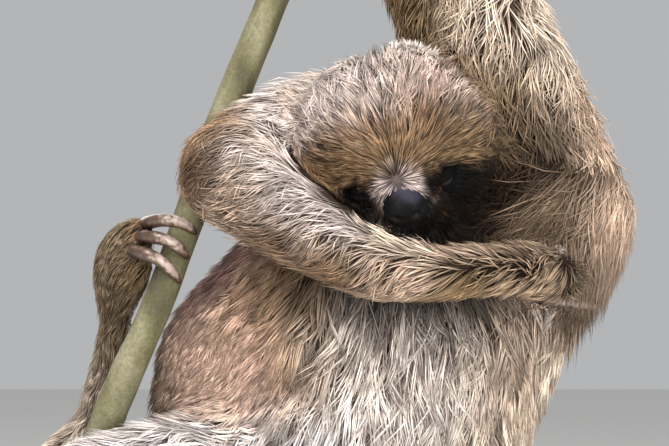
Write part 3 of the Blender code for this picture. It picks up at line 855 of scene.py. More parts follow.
# Marks of the face, one half of it: middle, reach, shade, strength
faceMarks = [
    ((0.0000, 0.0070, 0.0160), 0.0066, "lilac", 3.0),
    ((0.0080, 0.0042, 0.0150), 0.0040, "lilac", 1.8),
    ((0.0105, -0.0022, 0.0145), 0.0044, "ash", 5.0),
    ((0.0126, 0.0020, 0.0122), 0.0024, "mask", 9.0),
    ((0.0148, 0.0026, 0.0100), 0.0038, "mask", 8.0),
    ((0.0180, 0.0016, 0.0074), 0.0054, "mask", 8.0),
    ((0.0245, -0.0030, 0.0015), 0.0062, "mask", 8.0),
    ((0.0290, -0.0120, -0.0060), 0.0085, "mask", 7.0),
    ((0.0350, -0.0180, -0.0120), 0.0090, "mask", 5.0),
    ((0.0400, -0.0120, -0.0170), 0.0080, "russet", 3.0),
    ((0.0330, -0.0280, -0.0240), 0.0120, "russet", 3.0),
    ((0.0160, -0.0110, 0.0090), 0.0065, "soot", 5.0),
    ((0.0210, -0.0190, 0.0000), 0.0090, "mask", 5.0),
    ((0.0180, -0.0300, -0.0080), 0.0120, "soot", 4.0),
    ((0.0000, -0.0160, 0.0140), 0.0095, "mask", 7.0),
    ((0.0000, -0.0300, 0.0000), 0.0140, "soot", 4.0),
    ((0.0200, 0.0110, 0.0060), 0.0080, "gold", 2.5),
    ((0.0330, 0.0070, -0.0040), 0.0110, "gold", 2.5),
    ((0.0000, 0.0220, 0.0080), 0.0120, "gold", 1.2),
    ((0.0200, 0.0220, 0.0000), 0.0130, "gold", 1.2),
    ((0.0000, 0.0430, -0.0150), 0.0180, "dusty", 1.3),
    ((0.0300, 0.0360, -0.0220), 0.0200, "dusty", 1.3),
    ((0.0430, 0.0120, -0.0250), 0.0140, "hazel", 1.0),
    ((0.0200, -0.0360, -0.0280), 0.0180, "soot", 4.0),
    ((0.0080, -0.0210, 0.0090), 0.0090, "mask", 7.0),
    ((0.0000, 0.0300, -0.0500), 0.0250, "cream", 1.0),
    ((0.0000, -0.0100, -0.0800), 0.0350, "greyBrown", 1.0),
]

# Marks of one side alone, right below 0
sideMarks = [
    ((0.0148, -0.0026, 0.0105), 0.0022, "amber", 7.0),
    ((0.0165, -0.0190, 0.0025), 0.0046, "umber", 8.0),
    ((-0.0135, -0.0020, 0.0105), 0.0042, "mask", 9.0),
    ((-0.0100, -0.0080, 0.0120), 0.0040, "ash", 6.0),
    ((-0.0240, 0.0460, -0.0220), 0.0180, "pearl", 2.2),
    ((-0.0050, 0.0440, -0.0180), 0.0130, "pearl", 1.6),
    ((-0.0400, 0.0270, -0.0250), 0.0130, "pearl", 1.6),
    ((-0.0300, 0.0120, -0.0040), 0.0130, "umber", 3.4),
    # The next two umber marks are painted shade on the upper right of the head, where the raised arm meets it
    ((0.0380, 0.0330, -0.0330), 0.0110, "umber", 2.4),
    ((0.0190, 0.0300, 0.0000), 0.0080, "umber", 1.3),
    ((0.0330, 0.0180, -0.0080), 0.0110, "olive", 1.6),
]


class Wobble:
    # smooth noise of three numbers, the same on each run

    def __init__(self, seed, size, cells=24):
        self.values = np.random.default_rng(seed).normal(size=(cells,) * 3 + (3,))
        self.size = size

    def at(self, points):
        where = np.asarray(points) / self.size + 100
        cell = np.floor(where).astype(int)
        part = where - cell
        part = part * part * (3 - 2 * part)
        total = 0
        for step, weight in cellCorners(part):
            corner = self.values[tuple((cell + step).T % len(self.values))]
            total = total + corner * weight[:, None]
        return total


drift = Wobble(11, 0.016)
ripple = Wobble(12, 0.005)
blotch = Wobble(13, 0.022)


def strokesOf(part):
    chosen = [(node, *stroke) for node in strokes if coatOf[node]["part"] == part for stroke in strokes[node]]
    places, ways, roots, tips = [], [], [], []
    for node, where, way, shade in chosen:
        low, high = boxOf(node)
        places.append(low + (high - low) * np.array(where))
        ways.append(unit(np.array(way, float)))
        roots.append(linear(shades[shade][0]))
        tips.append(linear(shades[shade][1]))
    return np.array(places), np.array(ways), np.array(roots), np.array(tips)


combed = {part: strokesOf(part) for part in partNames if part != "head"}


# Hair of the head runs out from the whorl, and further out it falls sideways and down,
# more so on the right
headLie = {"fall": (0.028, 0.068), "arch": (-0.006, 0.008), "archSlow": 0.35, "sideways": 0.30,
           "archSideways": 0.65, "down": (0, 0, -0.55), "wander": 0.0011, "plain": "gold"}


def headCoat(points):
    h = headLie
    local = toFace(points)
    whorl = np.array(faceSettings["whorl"])
    away = local - whorl
    far = np.linalg.norm(away, axis=1)[:, None]
    side = np.sign(local[:, :1] + 0.0004)
    way = unit(away) @ face["axes"]
    fall = ease(far, *h["fall"])
    arched = 1 - ease(local[:, :1], *h["arch"])
    across = face["axes"][0] * side * (h["sideways"] + h["archSideways"] * arched)
    way = way * (1 - h["archSlow"] * fall * arched) + across * fall
    way = way + np.array(h["down"]) * fall
    seen = local + ripple.at(points) * h["wander"]
    half = mirrored(seen)
    total = np.full(len(points), 0.05)
    root, tip = (np.outer(total, linear(shade)) for shade in shades[h["plain"]])
    for marks, place in ((faceMarks, half), (sideMarks, seen)):
        for middle, reach, shade, strength in marks:
            weight = strength * np.exp(-(np.linalg.norm(place - np.array(middle), axis=1) / reach) ** 2)
            weight = weight ** 1.5
            total = total + weight
            root += np.outer(weight, linear(shades[shade][0]))
            tip += np.outer(weight, linear(shades[shade][1]))
    return way, root / total[:, None], tip / total[:, None]


# A small bare-looking spot low on the right of the chest, as shares of the trunk's box
chestSpot = {"where": (0.085, 0.150, 0.600), "reach": 0.0050, "shade": "violet"}


def coatLie(points, part):
    # which way the tips point, and the colours at root and tip
    if part == "head":
        return headCoat(points)
    places, ways, roots, tips = combed[part]
    apart = ((points[:, None, :] - places[None]) ** 2).sum(axis=2)
    weight = 1 / (apart + 0.00006) ** 2
    weight /= weight.sum(axis=1, keepdims=True)
    sharp = weight ** 1.3
    sharp /= sharp.sum(axis=1, keepdims=True)
    root, tip = sharp @ roots, sharp @ tips
    if part == "trunk":
        low, high = boxOf("trunk")
        away = np.linalg.norm(points - low - (high - low) * chestSpot["where"], axis=1)
        share = np.exp(-(away / chestSpot["reach"]) ** 2)[:, None]
        root = root + (linear(shades[chestSpot["shade"]][0]) - root) * share
        tip = tip + (linear(shades[chestSpot["shade"]][1]) - tip) * share
    return weight @ ways, root, tip


def coatColours(points, shares):
    root, tip = np.zeros((len(points), 3)), np.zeros((len(points), 3))
    for number, part in enumerate(partNames):
        some = shares[:, number] > 0.02
        if some.any():
            _, r, t = coatLie(points[some], part)
            root[some] += r * shares[some, number][:, None]
            tip[some] += t * shares[some, number][:, None]
    total = np.maximum(shares.sum(axis=1), 0.05)[:, None]
    return root / total, tip / total


def newMaterial(name):
    material = bpy.data.materials.new(name)
    material.use_nodes = True
    tree = material.node_tree
    return material, tree, tree.nodes["Principled BSDF"]


def addNode(tree, kind, values=None, **settings):
    node = tree.nodes.new(kind)
    for key, value in settings.items():
        setattr(node, key, value)
    for key, value in (values or {}).items():
        node.inputs[key].default_value = value
    return node


def linked(tree, kind, sources, values=None, **settings):
    node = addNode(tree, kind, values, **settings)
    for key, source in sources.items():
        tree.links.new(source, node.inputs[key])
    return node


def attributeOf(tree, name, output="Fac"):
    return addNode(tree, "ShaderNodeAttribute", attribute_name=name).outputs[output]


def objectPlace(tree):
    return addNode(tree, "ShaderNodeTexCoord").outputs["Object"]


def objectNoise(tree, scale, detail=3.0, stretch=None):
    place = objectPlace(tree)
    if stretch:
        place = linked(tree, "ShaderNodeMapping", {"Vector": place}, {"Scale": stretch}).outputs["Vector"]
    noise = linked(tree, "ShaderNodeTexNoise", {"Vector": place}, {"Scale": scale, "Detail": detail})
    return noise.outputs["Fac"]


def ranged(tree, source, low, high, start=0.3, end=0.7):
    ends = {"From Min": start, "From Max": end, "To Min": low, "To Max": high}
    return linked(tree, "ShaderNodeMapRange", {"Value": source}, ends).outputs["Result"]


def tinted(tree, colour, source, low, high):
    # the colour made darker or lighter by a noise
    tone = ranged(tree, source, low, high)
    scaled = linked(tree, "ShaderNodeVectorMath", {0: colour, "Scale": tone}, operation="SCALE")
    return scaled.outputs["Vector"]


def colourRamp(tree, source, stops, asSeen=True):
    # stops hold colours as seen, or the shader's own
    ramp = linked(tree, "ShaderNodeValToRGB", {"Fac": source})
    elements = ramp.color_ramp.elements
    while len(elements) < len(stops):
        elements.new(0.5)
    for element, (place, colour) in zip(elements, stops):
        element.position = place
        element.color = (*(linear(colour) if asSeen else colour), 1)
    return ramp.outputs["Color"]


def addBump(tree, shader, height, strength, distance):
    bump = linked(tree, "ShaderNodeBump", {"Height": height}, {"Strength": strength, "Distance": distance})
    tree.links.new(bump.outputs["Normal"], shader.inputs["Normal"])


hairLook = {"mottle": 240, "tones": (0.86, 1.14), "roughness": 0.55, "headRoughness": 0.50, "shine": 0.12}


def hairMaterial(name, roughness):
    material, tree, shader = newMaterial(name)
    mottle = objectNoise(tree, hairLook["mottle"])
    colour = tinted(tree, attributeOf(tree, "coatShade", "Color"), mottle, *hairLook["tones"])
    tree.links.new(colour, shader.inputs["Base Color"])
    shader.inputs["Roughness"].default_value = roughness
    shader.inputs["Specular IOR Level"].default_value = hairLook["shine"]
    return material


# Roughness and shine go from dry skin to wet
skinLook = {
    "mottle": 160, "tones": (0.82, 1.18), "roughness": (0.80, 0.52), "shine": (0.06, 0.11),
    "pores": 900, "pebbles": 1100.0, "bump": 0.35, "bumpDepth": 0.0002,
}


def skinMaterial():
    look = skinLook
    material, tree, shader = newMaterial("slothSkin")
    mottle = objectNoise(tree, look["mottle"], 4)
    colour = tinted(tree, attributeOf(tree, "skinShade", "Color"), mottle, *look["tones"])
    tree.links.new(colour, shader.inputs["Base Color"])
    wet = attributeOf(tree, "wet")
    tree.links.new(ranged(tree, wet, *look["roughness"], 0, 1), shader.inputs["Roughness"])
    tree.links.new(ranged(tree, wet, *look["shine"], 0, 1), shader.inputs["Specular IOR Level"])
    pores = objectNoise(tree, look["pores"], 2)
    pebbles = linked(tree, "ShaderNodeTexVoronoi", {"Vector": objectPlace(tree)}, {"Scale": look["pebbles"]})
    grain = linked(tree, "ShaderNodeMix", {"Factor": wet, "A": pores, "B": pebbles.outputs["Distance"]},
                   data_type="FLOAT")
    addBump(tree, shader, grain.outputs["Result"], look["bump"], look["bumpDepth"])
    return material


# Thin tapered tufts, three-sided and closed, rooted on the skin
tuftSettings = {
    "bakePatch": 0.003,                   # a tuft's patch on the unwrap
    "lockSize": 6, "clump": 0.72,         # tufts in a lock, and how far they lean together
    "lockReach": 0.007,
    "wide": 1.20, "flat": 0.80,           # a tuft's two thicknesses beside its girth
    "lengthSpread": 0.14, "shortest": 0.60, "longest": 1.40,
    "driftTurn": 0.8, "lockTurn": 0.60, "ownTurn": 0.32,
    "rippleBend": 0.5, "lockBend": 0.70, "ownBend": 0.30,
    "lockRise": 0.26, "ownRise": 0.14,    # how far the height of the tips varies
    "tipLow": 0.45, "tipHigh": 1.14,      # where the tips lie, from the skin to the coat's surface
    "strayShare": 0.06, "strayRise": 0.55,
    "sink": 0.0003,
    "eyeReach": 0.035, "eyeRoom": 1.35, "leastHair": 0.0012,    # hair that points at an eye
    "taper": {3: (0.75, 1.0, 0.70), 2: (0.8, 0.90)},            # by a tuft's lengths
    "clearance": 0.016, "openFrom": 0.002, "openFull": 0.012, "closedShare": 0.15, "backShare": 0.25,
    "leanSpread": (0.55, 1.2), "girthSpread": (0.75, 1.3), "overGirth": 1.18, "underGirth": 0.36,
    "toneSpread": 0.30, "darkest": 0.45, "palest": 1.35, "overShade": 1.08,
    # these darken the tufts that lie low in the coat: partly darker underfur, partly painted shade deep among
    # the hairs
    "underShade": 0.46, "headUnderShade": 0.80, "paleFrom": 0.30,
}

# Each piece of the coat: part of the body, slot, tufts, lengths of a tuft, where on the part,
# and how long and thick its tufts are beside the table's
coatPieces = {
    "coatCrown": ("head", "coat_head", 12300, 3, "crown", 1.0, 1.0),
    "coatFace": ("head", "coat_head", 12300, 3, "face", 1.0, 1.0),
    "coatRightArm": ("armRight", "coat_arms", 12300, 3, "all", 1.0, 1.0),
    "coatLeftArm": ("armLeft", "coat_arms", 12300, 3, "all", 1.0, 1.0),
    "coatChest": ("trunk", "coat_trunk", 12300, 3, "chest", 1.0, 1.0),
    "coatBelly": ("trunk", "coat_trunk", 11000, 2, "belly", 1.0, 1.0),
    "coatMantle": ("armLeft", "coat_arms", 3600, 3, "mantle", 1.7, 1.0),
    "coatBack": ("trunk", "coat_trunk", 10000, 3, "back", 1.2, 1.8),
    "coatRightLeg": ("legRight", "coat_legs", 11500, 2, "all", 1.0, 1.0),
    "coatLeftLeg": ("legLeft", "coat_legs", 9000, 2, "all", 1.0, 1.3),
}


# The mantle hangs between the hand on the right and the chest: how far from the hand's
# box it begins and ends, and how far it stands off the skin
mantleSettings = {"inward": 0.022, "below": 0.006, "above": 0.040, "behind": 0.062, "rise": 0.0100}


def placeShare(points, where):
    # 1 where a piece of the coat grows
    if where == "all":
        return np.ones(len(points))
    if where in ("crown", "face"):
        isFace = fromMuzzle(points) < 0.033
        return (isFace if where == "face" else ~isFace).astype(float)
    belly = bellyNearness(points) > 0.5
    front = (inBox(points, "trunk")[1] < 0.48) | belly
    near, far = boxOf("hand_right")
    sideways, forth, up = points.T
    m = mantleSettings
    mantle = ((sideways > near[0] + m["inward"]) & (up > far[2] - m["below"]) & (up < far[2] + m["above"])
              & (forth < far[1] + m["behind"]))
    return {"belly": belly, "chest": front & ~belly, "back": ~front, "mantle": mantle}[where].astype(float)


# Where the skin shows: on the nose pad and round the eyes no hair grows, and the lips are dark
bareSettings = {
    "noseBare": (0.0094, 0.0082, 0.0075), "noseBlack": (0.0104, 0.0090, 0.0080),
    "noseTop": (0.0034, 0.0054),
    "lidBare": (0.0012, 0.0022), "lidBlack": (0.0015, 0.0035),
    "lips": (0.006, -0.0145, 0.0130), "lipsFlat": 0.7, "lipsReach": 0.0075,
}


def bareness(points):
    # 1 where no hair grows
    b = bareSettings
    local = toFace(points)
    away = local - toFace(face["nose"])
    nose = np.linalg.norm(away / b["noseBare"], axis=1)
    nose = np.maximum(nose, ease(away[:, 1] - away[:, 0] * 0.15, *b["noseTop"]) * 1.3)
    lid = fromEye(local) - eyeRadius()
    return np.maximum(1 - ease(nose, 0.95, 1.10), 1 - ease(lid, *b["lidBare"]))


def skinTriangles(skin, count):
    co, tris = meshArrays(skin)
    tris = tris[(tris < count).all(axis=1)]
    loopUv = np.empty(len(skin.data.loops) * 2, np.float32)
    skin.data.uv_layers["unwrap"].data.foreach_get("uv", loopUv)
    loops = np.empty(len(skin.data.loop_triangles) * 3, np.int32)
    skin.data.loop_triangles.foreach_get("loops", loops)
    uv = loopUv.reshape(-1, 2)[loops.reshape(-1, 3)[: len(tris)]]
    corners = co[tris]
    across = np.cross(corners[:, 1] - corners[:, 0], corners[:, 2] - corners[:, 0])
    area = np.linalg.norm(across, axis=1) / 2
    return corners, uv, area


def unwrapSkin(skin):
    skin.data.uv_layers.new(name="unwrap")
    bpy.context.view_layer.objects.active = skin
    skin.select_set(True)
    bpy.ops.object.mode_set(mode="EDIT")
    bpy.ops.mesh.select_all(action="SELECT")
    bpy.ops.uv.smart_project(angle_limit=math.radians(62), island_margin=0.001)
    bpy.ops.object.mode_set(mode="OBJECT")


def turned(ways, normals, angles):
    across = np.cross(normals, ways)
    return ways * np.cos(angles)[:, None] + across * np.sin(angles)[:, None]


def flattened(ways, normals):
    return unit(ways - normals * (ways * normals).sum(axis=1, keepdims=True))


# where the hair of a part may run on over another
crossesInto = {
    "head": ["head", "trunk", "armLeft"],
    "armRight": ["armRight", "trunk"],
    "armLeft": ["armLeft", "trunk"],
    "trunk": ["trunk", "armLeft", "legRight", "legLeft"],
    "legRight": ["legRight", "trunk"],
    "legLeft": ["legLeft", "trunk"],
}


def lockShare(coat):
    # short hair and the most unruly do not gather into locks
    calm = 1 - 0.65 * ease(coat["unruly"], 0.30, 0.55)
    return ((0.25 + 0.75 * ease(coat["hair"], 0.008, 0.020)) * calm)[:, None]


def clearOfEyes(roots, way, hair):
    # hair that points at an eye ends before it
    t = tuftSettings
    for eye in face["eyes"]:
        toEye = eye - roots
        distance = np.linalg.norm(toEye, axis=1)
        facing = (unit(way) * unit(toEye)).sum(axis=1) > 0.35
        limit = np.where(facing & (distance < t["eyeReach"]), distance - eyeRadius() * t["eyeRoom"], 1.0)
        hair = np.minimum(hair, np.maximum(limit, t["leastHair"]))
    return hair


def growTufts(roots, guide, part, lengths, longer, over, random):
    # a lock's tufts share most of its guide's way, length and height
    t = tuftSettings
    coat = coatAt(roots)
    own = random.normal(size=(len(roots), 4))
    shared = own[guide] * lockShare(coat)
    welcome = [partNames.index(name) for name in crossesInto[part]]
    loose = np.zeros(len(roots))
    if part == "head":
        loose = ease(toFace(roots)[:, 1], 0.010, 0.030)
    if over:
        loose = loose + 1
    way = coatLie(roots, part)[0]
    normal = coat["normal"]
    stretch = 1 + shared[:, 0] * t["lengthSpread"] + own[:, 0] * t["lengthSpread"]
    hair = coat["hair"] * longer * np.clip(stretch, t["shortest"], t["longest"])
    unruly = coat["unruly"]
    if part == "head":
        hair = clearOfEyes(roots, way, hair)
    angle = unruly * (drift.at(roots)[:, 0] * t["driftTurn"] + shared[:, 1] * t["lockTurn"]
                      + own[:, 1] * t["ownTurn"])
    bend = unruly * (ripple.at(roots)[:, 1] * t["rippleBend"] + shared[:, 2] * t["lockBend"]
                     + own[:, 2] * t["ownBend"])
    rise = np.clip(0.5 + shared[:, 3] * t["lockRise"] + own[:, 3] * t["ownRise"], 0, 1)
    tipHeight = t["tipLow"] + (t["tipHigh"] - t["tipLow"]) * rise
    stray = random.uniform(size=len(roots)) < t["strayShare"]
    strayRise = t["strayRise"] * random.uniform(size=len(roots))
    tipHeight = np.where(stray, tipHeight + strayRise, tipHeight)
    path = [roots - normal * t["sink"]]
    place = roots.copy()
    step = hair / lengths
    for number in range(1, lengths + 1):
        share = number / lengths
        here = coatAt(place)
        flow = flattened(way, here["normal"])
        flow = turned(flow, here["normal"], angle + bend * share)
        place = place + flow * step[:, None]
        here = coatAt(place)
        shrink = np.clip(here["shares"][:, welcome].sum(axis=1) * 3.0 + loose, 0.0, 1.0)
        if part == "head":
            shrink = np.where(hangsOver(place + ripple.at(place) * 0.0015), 0.1, shrink)
        place = place - flow * (step * (1 - shrink) * 0.9)[:, None]
        height = tipHeight * share ** 0.75
        target = -here["depth"] * (1 - height)
        target = np.minimum(target, 0.0030) + (mantleSettings["rise"] * share ** 0.4 if over else 0)
        place = place + here["normal"] * np.clip(target - here["out"], -0.004, 0.004)[:, None]
        path.append(place)
    path = np.stack(path, 1)
    _, rootShade, tipShade = coatLie(roots * 0.4 + place * 0.6, part)
    return path, coat, rootShade, tipShade, 1 - ease(rise, 0.30, 0.80)


def locksOf(roots, random):
    # each root's guide, the nearest of a share of the roots
    count = len(roots)
    guides = random.permutation(count)[: max(count // tuftSettings["lockSize"], 4)]
    tree = KDTree(len(guides))
    for row, guide in enumerate(guides):
        tree.insert(roots[guide], row)
    tree.balance()
    return np.array([guides[tree.find(root)[1]] for root in roots])


def clumped(path, guide, share, random):
    # a lock's tufts lean together towards their tips
    steps = path.shape[1] - 1
    pull = tuftSettings["clump"] * (np.arange(steps + 1) / steps) ** 1.3
    pull = pull[None, :, None] * random.uniform(*tuftSettings["leanSpread"], len(path))[:, None, None]
    sameWay = (unit(path[:, -1] - path[:, 0]) * unit(path[guide, -1] - path[guide, 0])).sum(axis=1) > 0.5
    close = np.linalg.norm(path[:, 0] - path[guide, 0], axis=1) < tuftSettings["lockReach"]
    pull = pull * (sameWay & close)[:, None, None] * share[:, None]
    return path + (path[guide] - path) * pull


def tuftMesh(name, path, normals, girth, rootShade, tipShade, tone, uv):
    count, rings = path.shape[0], path.shape[1] - 1
    t = tuftSettings
    along = unit(np.gradient(path, axis=1))
    out = unit(normals[:, None] - along * (normals[:, None] * along).sum(axis=2, keepdims=True))
    across = np.cross(along, out)
    points = np.empty((count, rings * 3 + 1, 3))
    uvs = np.empty((count, rings * 3 + 1, 2))
    share = np.empty(rings * 3 + 1)
    for ring in range(rings):
        size = (girth * t["taper"][rings][ring])[:, None]
        for corner in range(3):
            angle = math.pi / 2 + corner * 2 * math.pi / 3
            offset = (out[:, ring] * math.sin(angle) * t["flat"]
                      + across[:, ring] * math.cos(angle) * t["wide"])
            points[:, ring * 3 + corner] = path[:, ring] + offset * size
            uvs[:, ring * 3 + corner] = uv + t["bakePatch"] * np.array([corner / 2 - 0.5, ring / rings - 0.5])
            share[ring * 3 + corner] = ring / rings
    points[:, -1] = path[:, -1]
    uvs[:, -1] = uv + t["bakePatch"] * np.array([0.0, 0.5])
    share[-1] = 1
    faces = [(0, 2, 1)]
    for ring in range(rings - 1):
        for corner in range(3):
            a, b = ring * 3 + corner, ring * 3 + (corner + 1) % 3
            faces += [(a, b, b + 3), (a, b + 3, a + 3)]
    last = (rings - 1) * 3
    faces += [(last + c, last + (c + 1) % 3, rings * 3) for c in range(3)]
    faces = np.array(faces)
    allFaces = (faces[None] + np.arange(count)[:, None, None] * (rings * 3 + 1)).reshape(-1, 3)
    piece = newMesh(name, points.reshape(-1, 3), allFaces)
    blend = ease(share, t["paleFrom"] - 0.25, 0.92)[None, :, None]
    colours = (rootShade[:, None] * (1 - blend) + tipShade[:, None] * blend) * tone[:, None, None]
    paintPoints(piece, "coatShade", np.clip(colours.reshape(-1, 3), 0, 1))
    layer = piece.data.uv_layers.new(name="OFBake")
    corners = np.clip(uvs.reshape(-1, 2)[allFaces.ravel()], 0, 1)
    layer.data.foreach_set("uv", corners.astype(np.float32).ravel())
    return piece


def openness(points, coat):
    # small where another part of the body lies close over the skin, and a little less at the back
    t = tuftSettings
    above = fields.at(points + coat["normal"] * t["clearance"])[:, 0] + coat["depth"]
    share = t["closedShare"] + (1 - t["closedShare"]) * ease(above, t["openFrom"], t["openFull"])
    facing = -coat["normal"][:, 1]
    return share * (1 + t["backShare"] * facing)


def growCoat(skin, count):
    corners, uv, area = skinTriangles(skin, count)
    middles = corners.mean(axis=1)
    shares = coatAt(middles)["shares"]
    owner = shares.argmax(axis=1)
    bare = bareness(middles)
    there = coatAt(middles)
    thickness = openness(middles, there) / np.maximum(there["hair"], 0.004) ** 0.5
    t = tuftSettings
    for seed, (name, settings) in enumerate(coatPieces.items()):
        part, slot, tufts, lengths, where, longer, thicker = settings
        random = np.random.default_rng(100 + seed)
        weight = area * (owner == partNames.index(part)) * placeShare(middles, where) * (1 - bare)
        weight = weight * thickness
        chosen = random.choice(len(area), tufts, p=weight / weight.sum())
        a, b = random.uniform(size=(2, tufts))
        over = a + b > 1
        a, b = np.where(over, 1 - a, a), np.where(over, 1 - b, b)
        mix = np.stack([1 - a - b, a, b], 1)[:, :, None]
        roots = (corners[chosen] * mix).sum(axis=1)
        rootUv = (uv[chosen] * mix).sum(axis=1)
        guide = locksOf(roots, random)
        path, coat, rootShade, tipShade, under = growTufts(roots, guide, part, lengths, longer,
                                                           where == "mantle", random)
        share = lockShare(coat)
        path = clumped(path, guide, share, random)
        pale = random.normal(size=tufts)
        pale = pale * 0.6 + pale[guide] * share[:, 0] * 0.6
        tone = 1 + t["toneSpread"] * (pale + blotch.at(roots)[:, 0] * 0.35)
        # the under-layer is darker: partly its own darker underfur, partly painted shade between the hairs
        dim = t["headUnderShade" if part == "head" else "underShade"]
        tone = np.clip(tone, t["darkest"], t["palest"]) * t["overShade"] * (1 - dim * under)
        girth = coat["girth"] * thicker * random.uniform(*t["girthSpread"], tufts)
        girth = girth * (t["overGirth"] - t["underGirth"] * under)
        piece = tuftMesh(name, path, coat["normal"], girth, rootShade, tipShade, tone, rootUv)
        piece.data.materials.append(hairMaterials[part])
        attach(piece, "root")
        print("coat piece", name, len(piece.data.polygons), "triangles")


def paintSkin(skin):
    co, _ = meshArrays(skin)
    b = bareSettings
    root, tip = coatColours(co, coatAt(co)["shares"])
    colour = root * 0.45 + tip * 0.03
    local = toFace(co)
    nose = np.linalg.norm((local - toFace(face["nose"])) / b["noseBlack"], axis=1)
    pad = (1 - ease(nose, 0.90, 1.10))[:, None]
    eye = fromEye(local) - eyeRadius()
    lid = (1 - ease(eye, *b["lidBlack"]))[:, None]
    mouth = np.linalg.norm((mirrored(local) - b["lips"]) / (1, b["lipsFlat"], 1), axis=1)
    lips = np.exp(-(mouth / b["lipsReach"]) ** 2)[:, None]
    colour = colour + (linear(bareShades["lidBlack"]) - colour) * np.maximum(lid, lips)
    # the top of the nose pad is painted bluish and lighter: a painted highlight
    top = ease(local[:, 1] + local[:, 2] * 0.5 + local[:, 0] * 0.35, 0.0098, 0.0150)[:, None]
    black, paintedHighlight = linear(bareShades["noseBlack"]), linear(bareShades["noseTop"])
    colour = colour + (black + (paintedHighlight - black) * top - colour) * pad
    paintPoints(skin, "skinShade", np.clip(colour, 0, 1))
    edge = np.exp(-((eye - 0.0004) / 0.0003) ** 2) * 0.35
    setPoints(skin, "wet", np.maximum(pad[:, 0], edge))


print("colouring the skin")
unwrapSkin(skin)
paintSkin(skin)
skin.data.materials.append(skinMaterial())
hairMaterials = {}
for part in partNames:
    rough = hairLook["headRoughness" if part == "head" else "roughness"]
    hairMaterials[part] = hairMaterial(part + "Hair", rough)
print("growing the coat")
growCoat(skin, bareSkin)
skin.data.uv_layers.remove(skin.data.uv_layers["unwrap"])
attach(skin, "root")
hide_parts(*fleshNodes)


def eyeMaterial():
    e = eyeSettings
    material, tree, shader = newMaterial("wetEye")
    reach = e["irisAngle"] * 1.5
    angle = ranged(tree, attributeOf(tree, "fromGaze"), 0, 1, 0, reach)
    stops = [(0.0, e["pupil"]), (e["pupilAngle"] / reach, e["pupil"])] + e["colours"]
    colour = tinted(tree, colourRamp(tree, angle, stops, False), objectNoise(tree, 2600, 3), 0.7, 1.3)
    tree.links.new(colour, shader.inputs["Base Color"])
    for socket, value in e["look"].items():
        shader.inputs[socket].default_value = value
    return material


wetEye = eyeMaterial()
for eye in eyeballs:
    eye.data.materials.append(wetEye)


refineSettings = {"merge": 0.00002, "flat": math.radians(1.0), "rounds": 4}


def refinedCopy(node, name, levels, creaseOver=None):
    # the node's own shape, merged and rounded, and drawn out again to the node's size
    r = refineSettings
    net = bmesh.new()
    net.from_mesh(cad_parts[node].data)
    bmesh.ops.remove_doubles(net, verts=net.verts, dist=r["merge"])
    bmesh.ops.dissolve_limit(net, angle_limit=r["flat"], verts=net.verts, edges=net.edges)
    bmesh.ops.join_triangles(net, faces=[f for f in net.faces if len(f.verts) == 3],
                             angle_face_threshold=0.7, angle_shape_threshold=0.9)
    if creaseOver:
        crease = net.edges.layers.float.new("crease_edge")
        for edge in net.edges:
            if len(edge.link_faces) == 2 and edge.calc_face_angle() > creaseOver:
                edge[crease] = 1.0
    mesh = bpy.data.meshes.new(name)
    net.to_mesh(mesh)
    net.free()
    mesh.polygons.foreach_set("use_smooth", [True] * len(mesh.polygons))
    piece = addObject(name, mesh)
    rounded = piece.modifiers.new("rounded", "SUBSURF")
    rounded.levels = rounded.render_levels = levels
    goal, _ = meshArrays(piece)
    place = goal.copy()
    for _ in range(r["rounds"]):
        graph = bpy.context.evaluated_depsgraph_get()
        reached, _ = meshArrays(piece.evaluated_get(graph))
        place += goal - reached[: len(goal)]
        mesh.vertices.foreach_set("co", place.astype(np.float32).ravel())
        mesh.update()
    return finishedCopy(piece, name)


def addPiece(piece, slot, material, *nodes):
    if not piece.data.materials:
        piece.data.materials.append(material)
    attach(piece, "root")
    if nodes:
        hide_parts(*nodes)
    return piece


clawSettings = {
    "levels": 3, "swell": 0.0006, "grain": 900.0, "roughness": 0.36,
    # from the hollow side to the back of the claw: the horn's own browns, darkened on the hollow side by
    # painted shade and paled along the back by a painted highlight
    "colours": [(0.10, (0.06, 0.045, 0.04)), (0.50, (0.19, 0.135, 0.105)), (0.78, (0.33, 0.25, 0.205)),
                (1.00, (0.64, 0.57, 0.53))],
}


def clawMaterial():
    material, tree, shader = newMaterial("clawHorn")
    streak = ranged(tree, objectNoise(tree, 420, 4), -0.16, 0.16)
    shift = linked(tree, "ShaderNodeMath", {0: attributeOf(tree, "ridge"), 1: streak}, operation="ADD")
    colour = colourRamp(tree, shift.outputs["Value"], clawSettings["colours"])
    tree.links.new(colour, shader.inputs["Base Color"])
    shader.inputs["Roughness"].default_value = clawSettings["roughness"]
    addBump(tree, shader, objectNoise(tree, clawSettings["grain"], 3), 0.25, 0.0003)
    return material


def buildClaws():
    horn = clawMaterial()
    for node in sorted(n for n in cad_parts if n.startswith("claw_")):
        words = node.split("_")
        name = "claw" + words[2].title() + words[1].title() + words[3]
        claw = refinedCopy(node, name, clawSettings["levels"])
        co, _ = meshArrays(claw)
        normals = np.array([vert.normal for vert in claw.data.vertices])
        co = co + normals * clawSettings["swell"]
        claw.data.vertices.foreach_set("co", co.astype(np.float32).ravel())
        claw.data.update()
        middle = co.mean(axis=0)
        _, _, axes = np.linalg.svd(co - middle, full_matrices=False)
        along, bowed = (co - middle) @ axes[0], (co - middle) @ axes[1]
        curve = np.polyfit(along, bowed, 2)
        off = (bowed - np.polyval(curve, along)) * -np.sign(curve[0])
        setPoints(claw, "ridge", 0.5 + off / max(np.abs(off).max(), 1e-6) * 0.5)
        addPiece(claw, "claw_horn", horn, node)


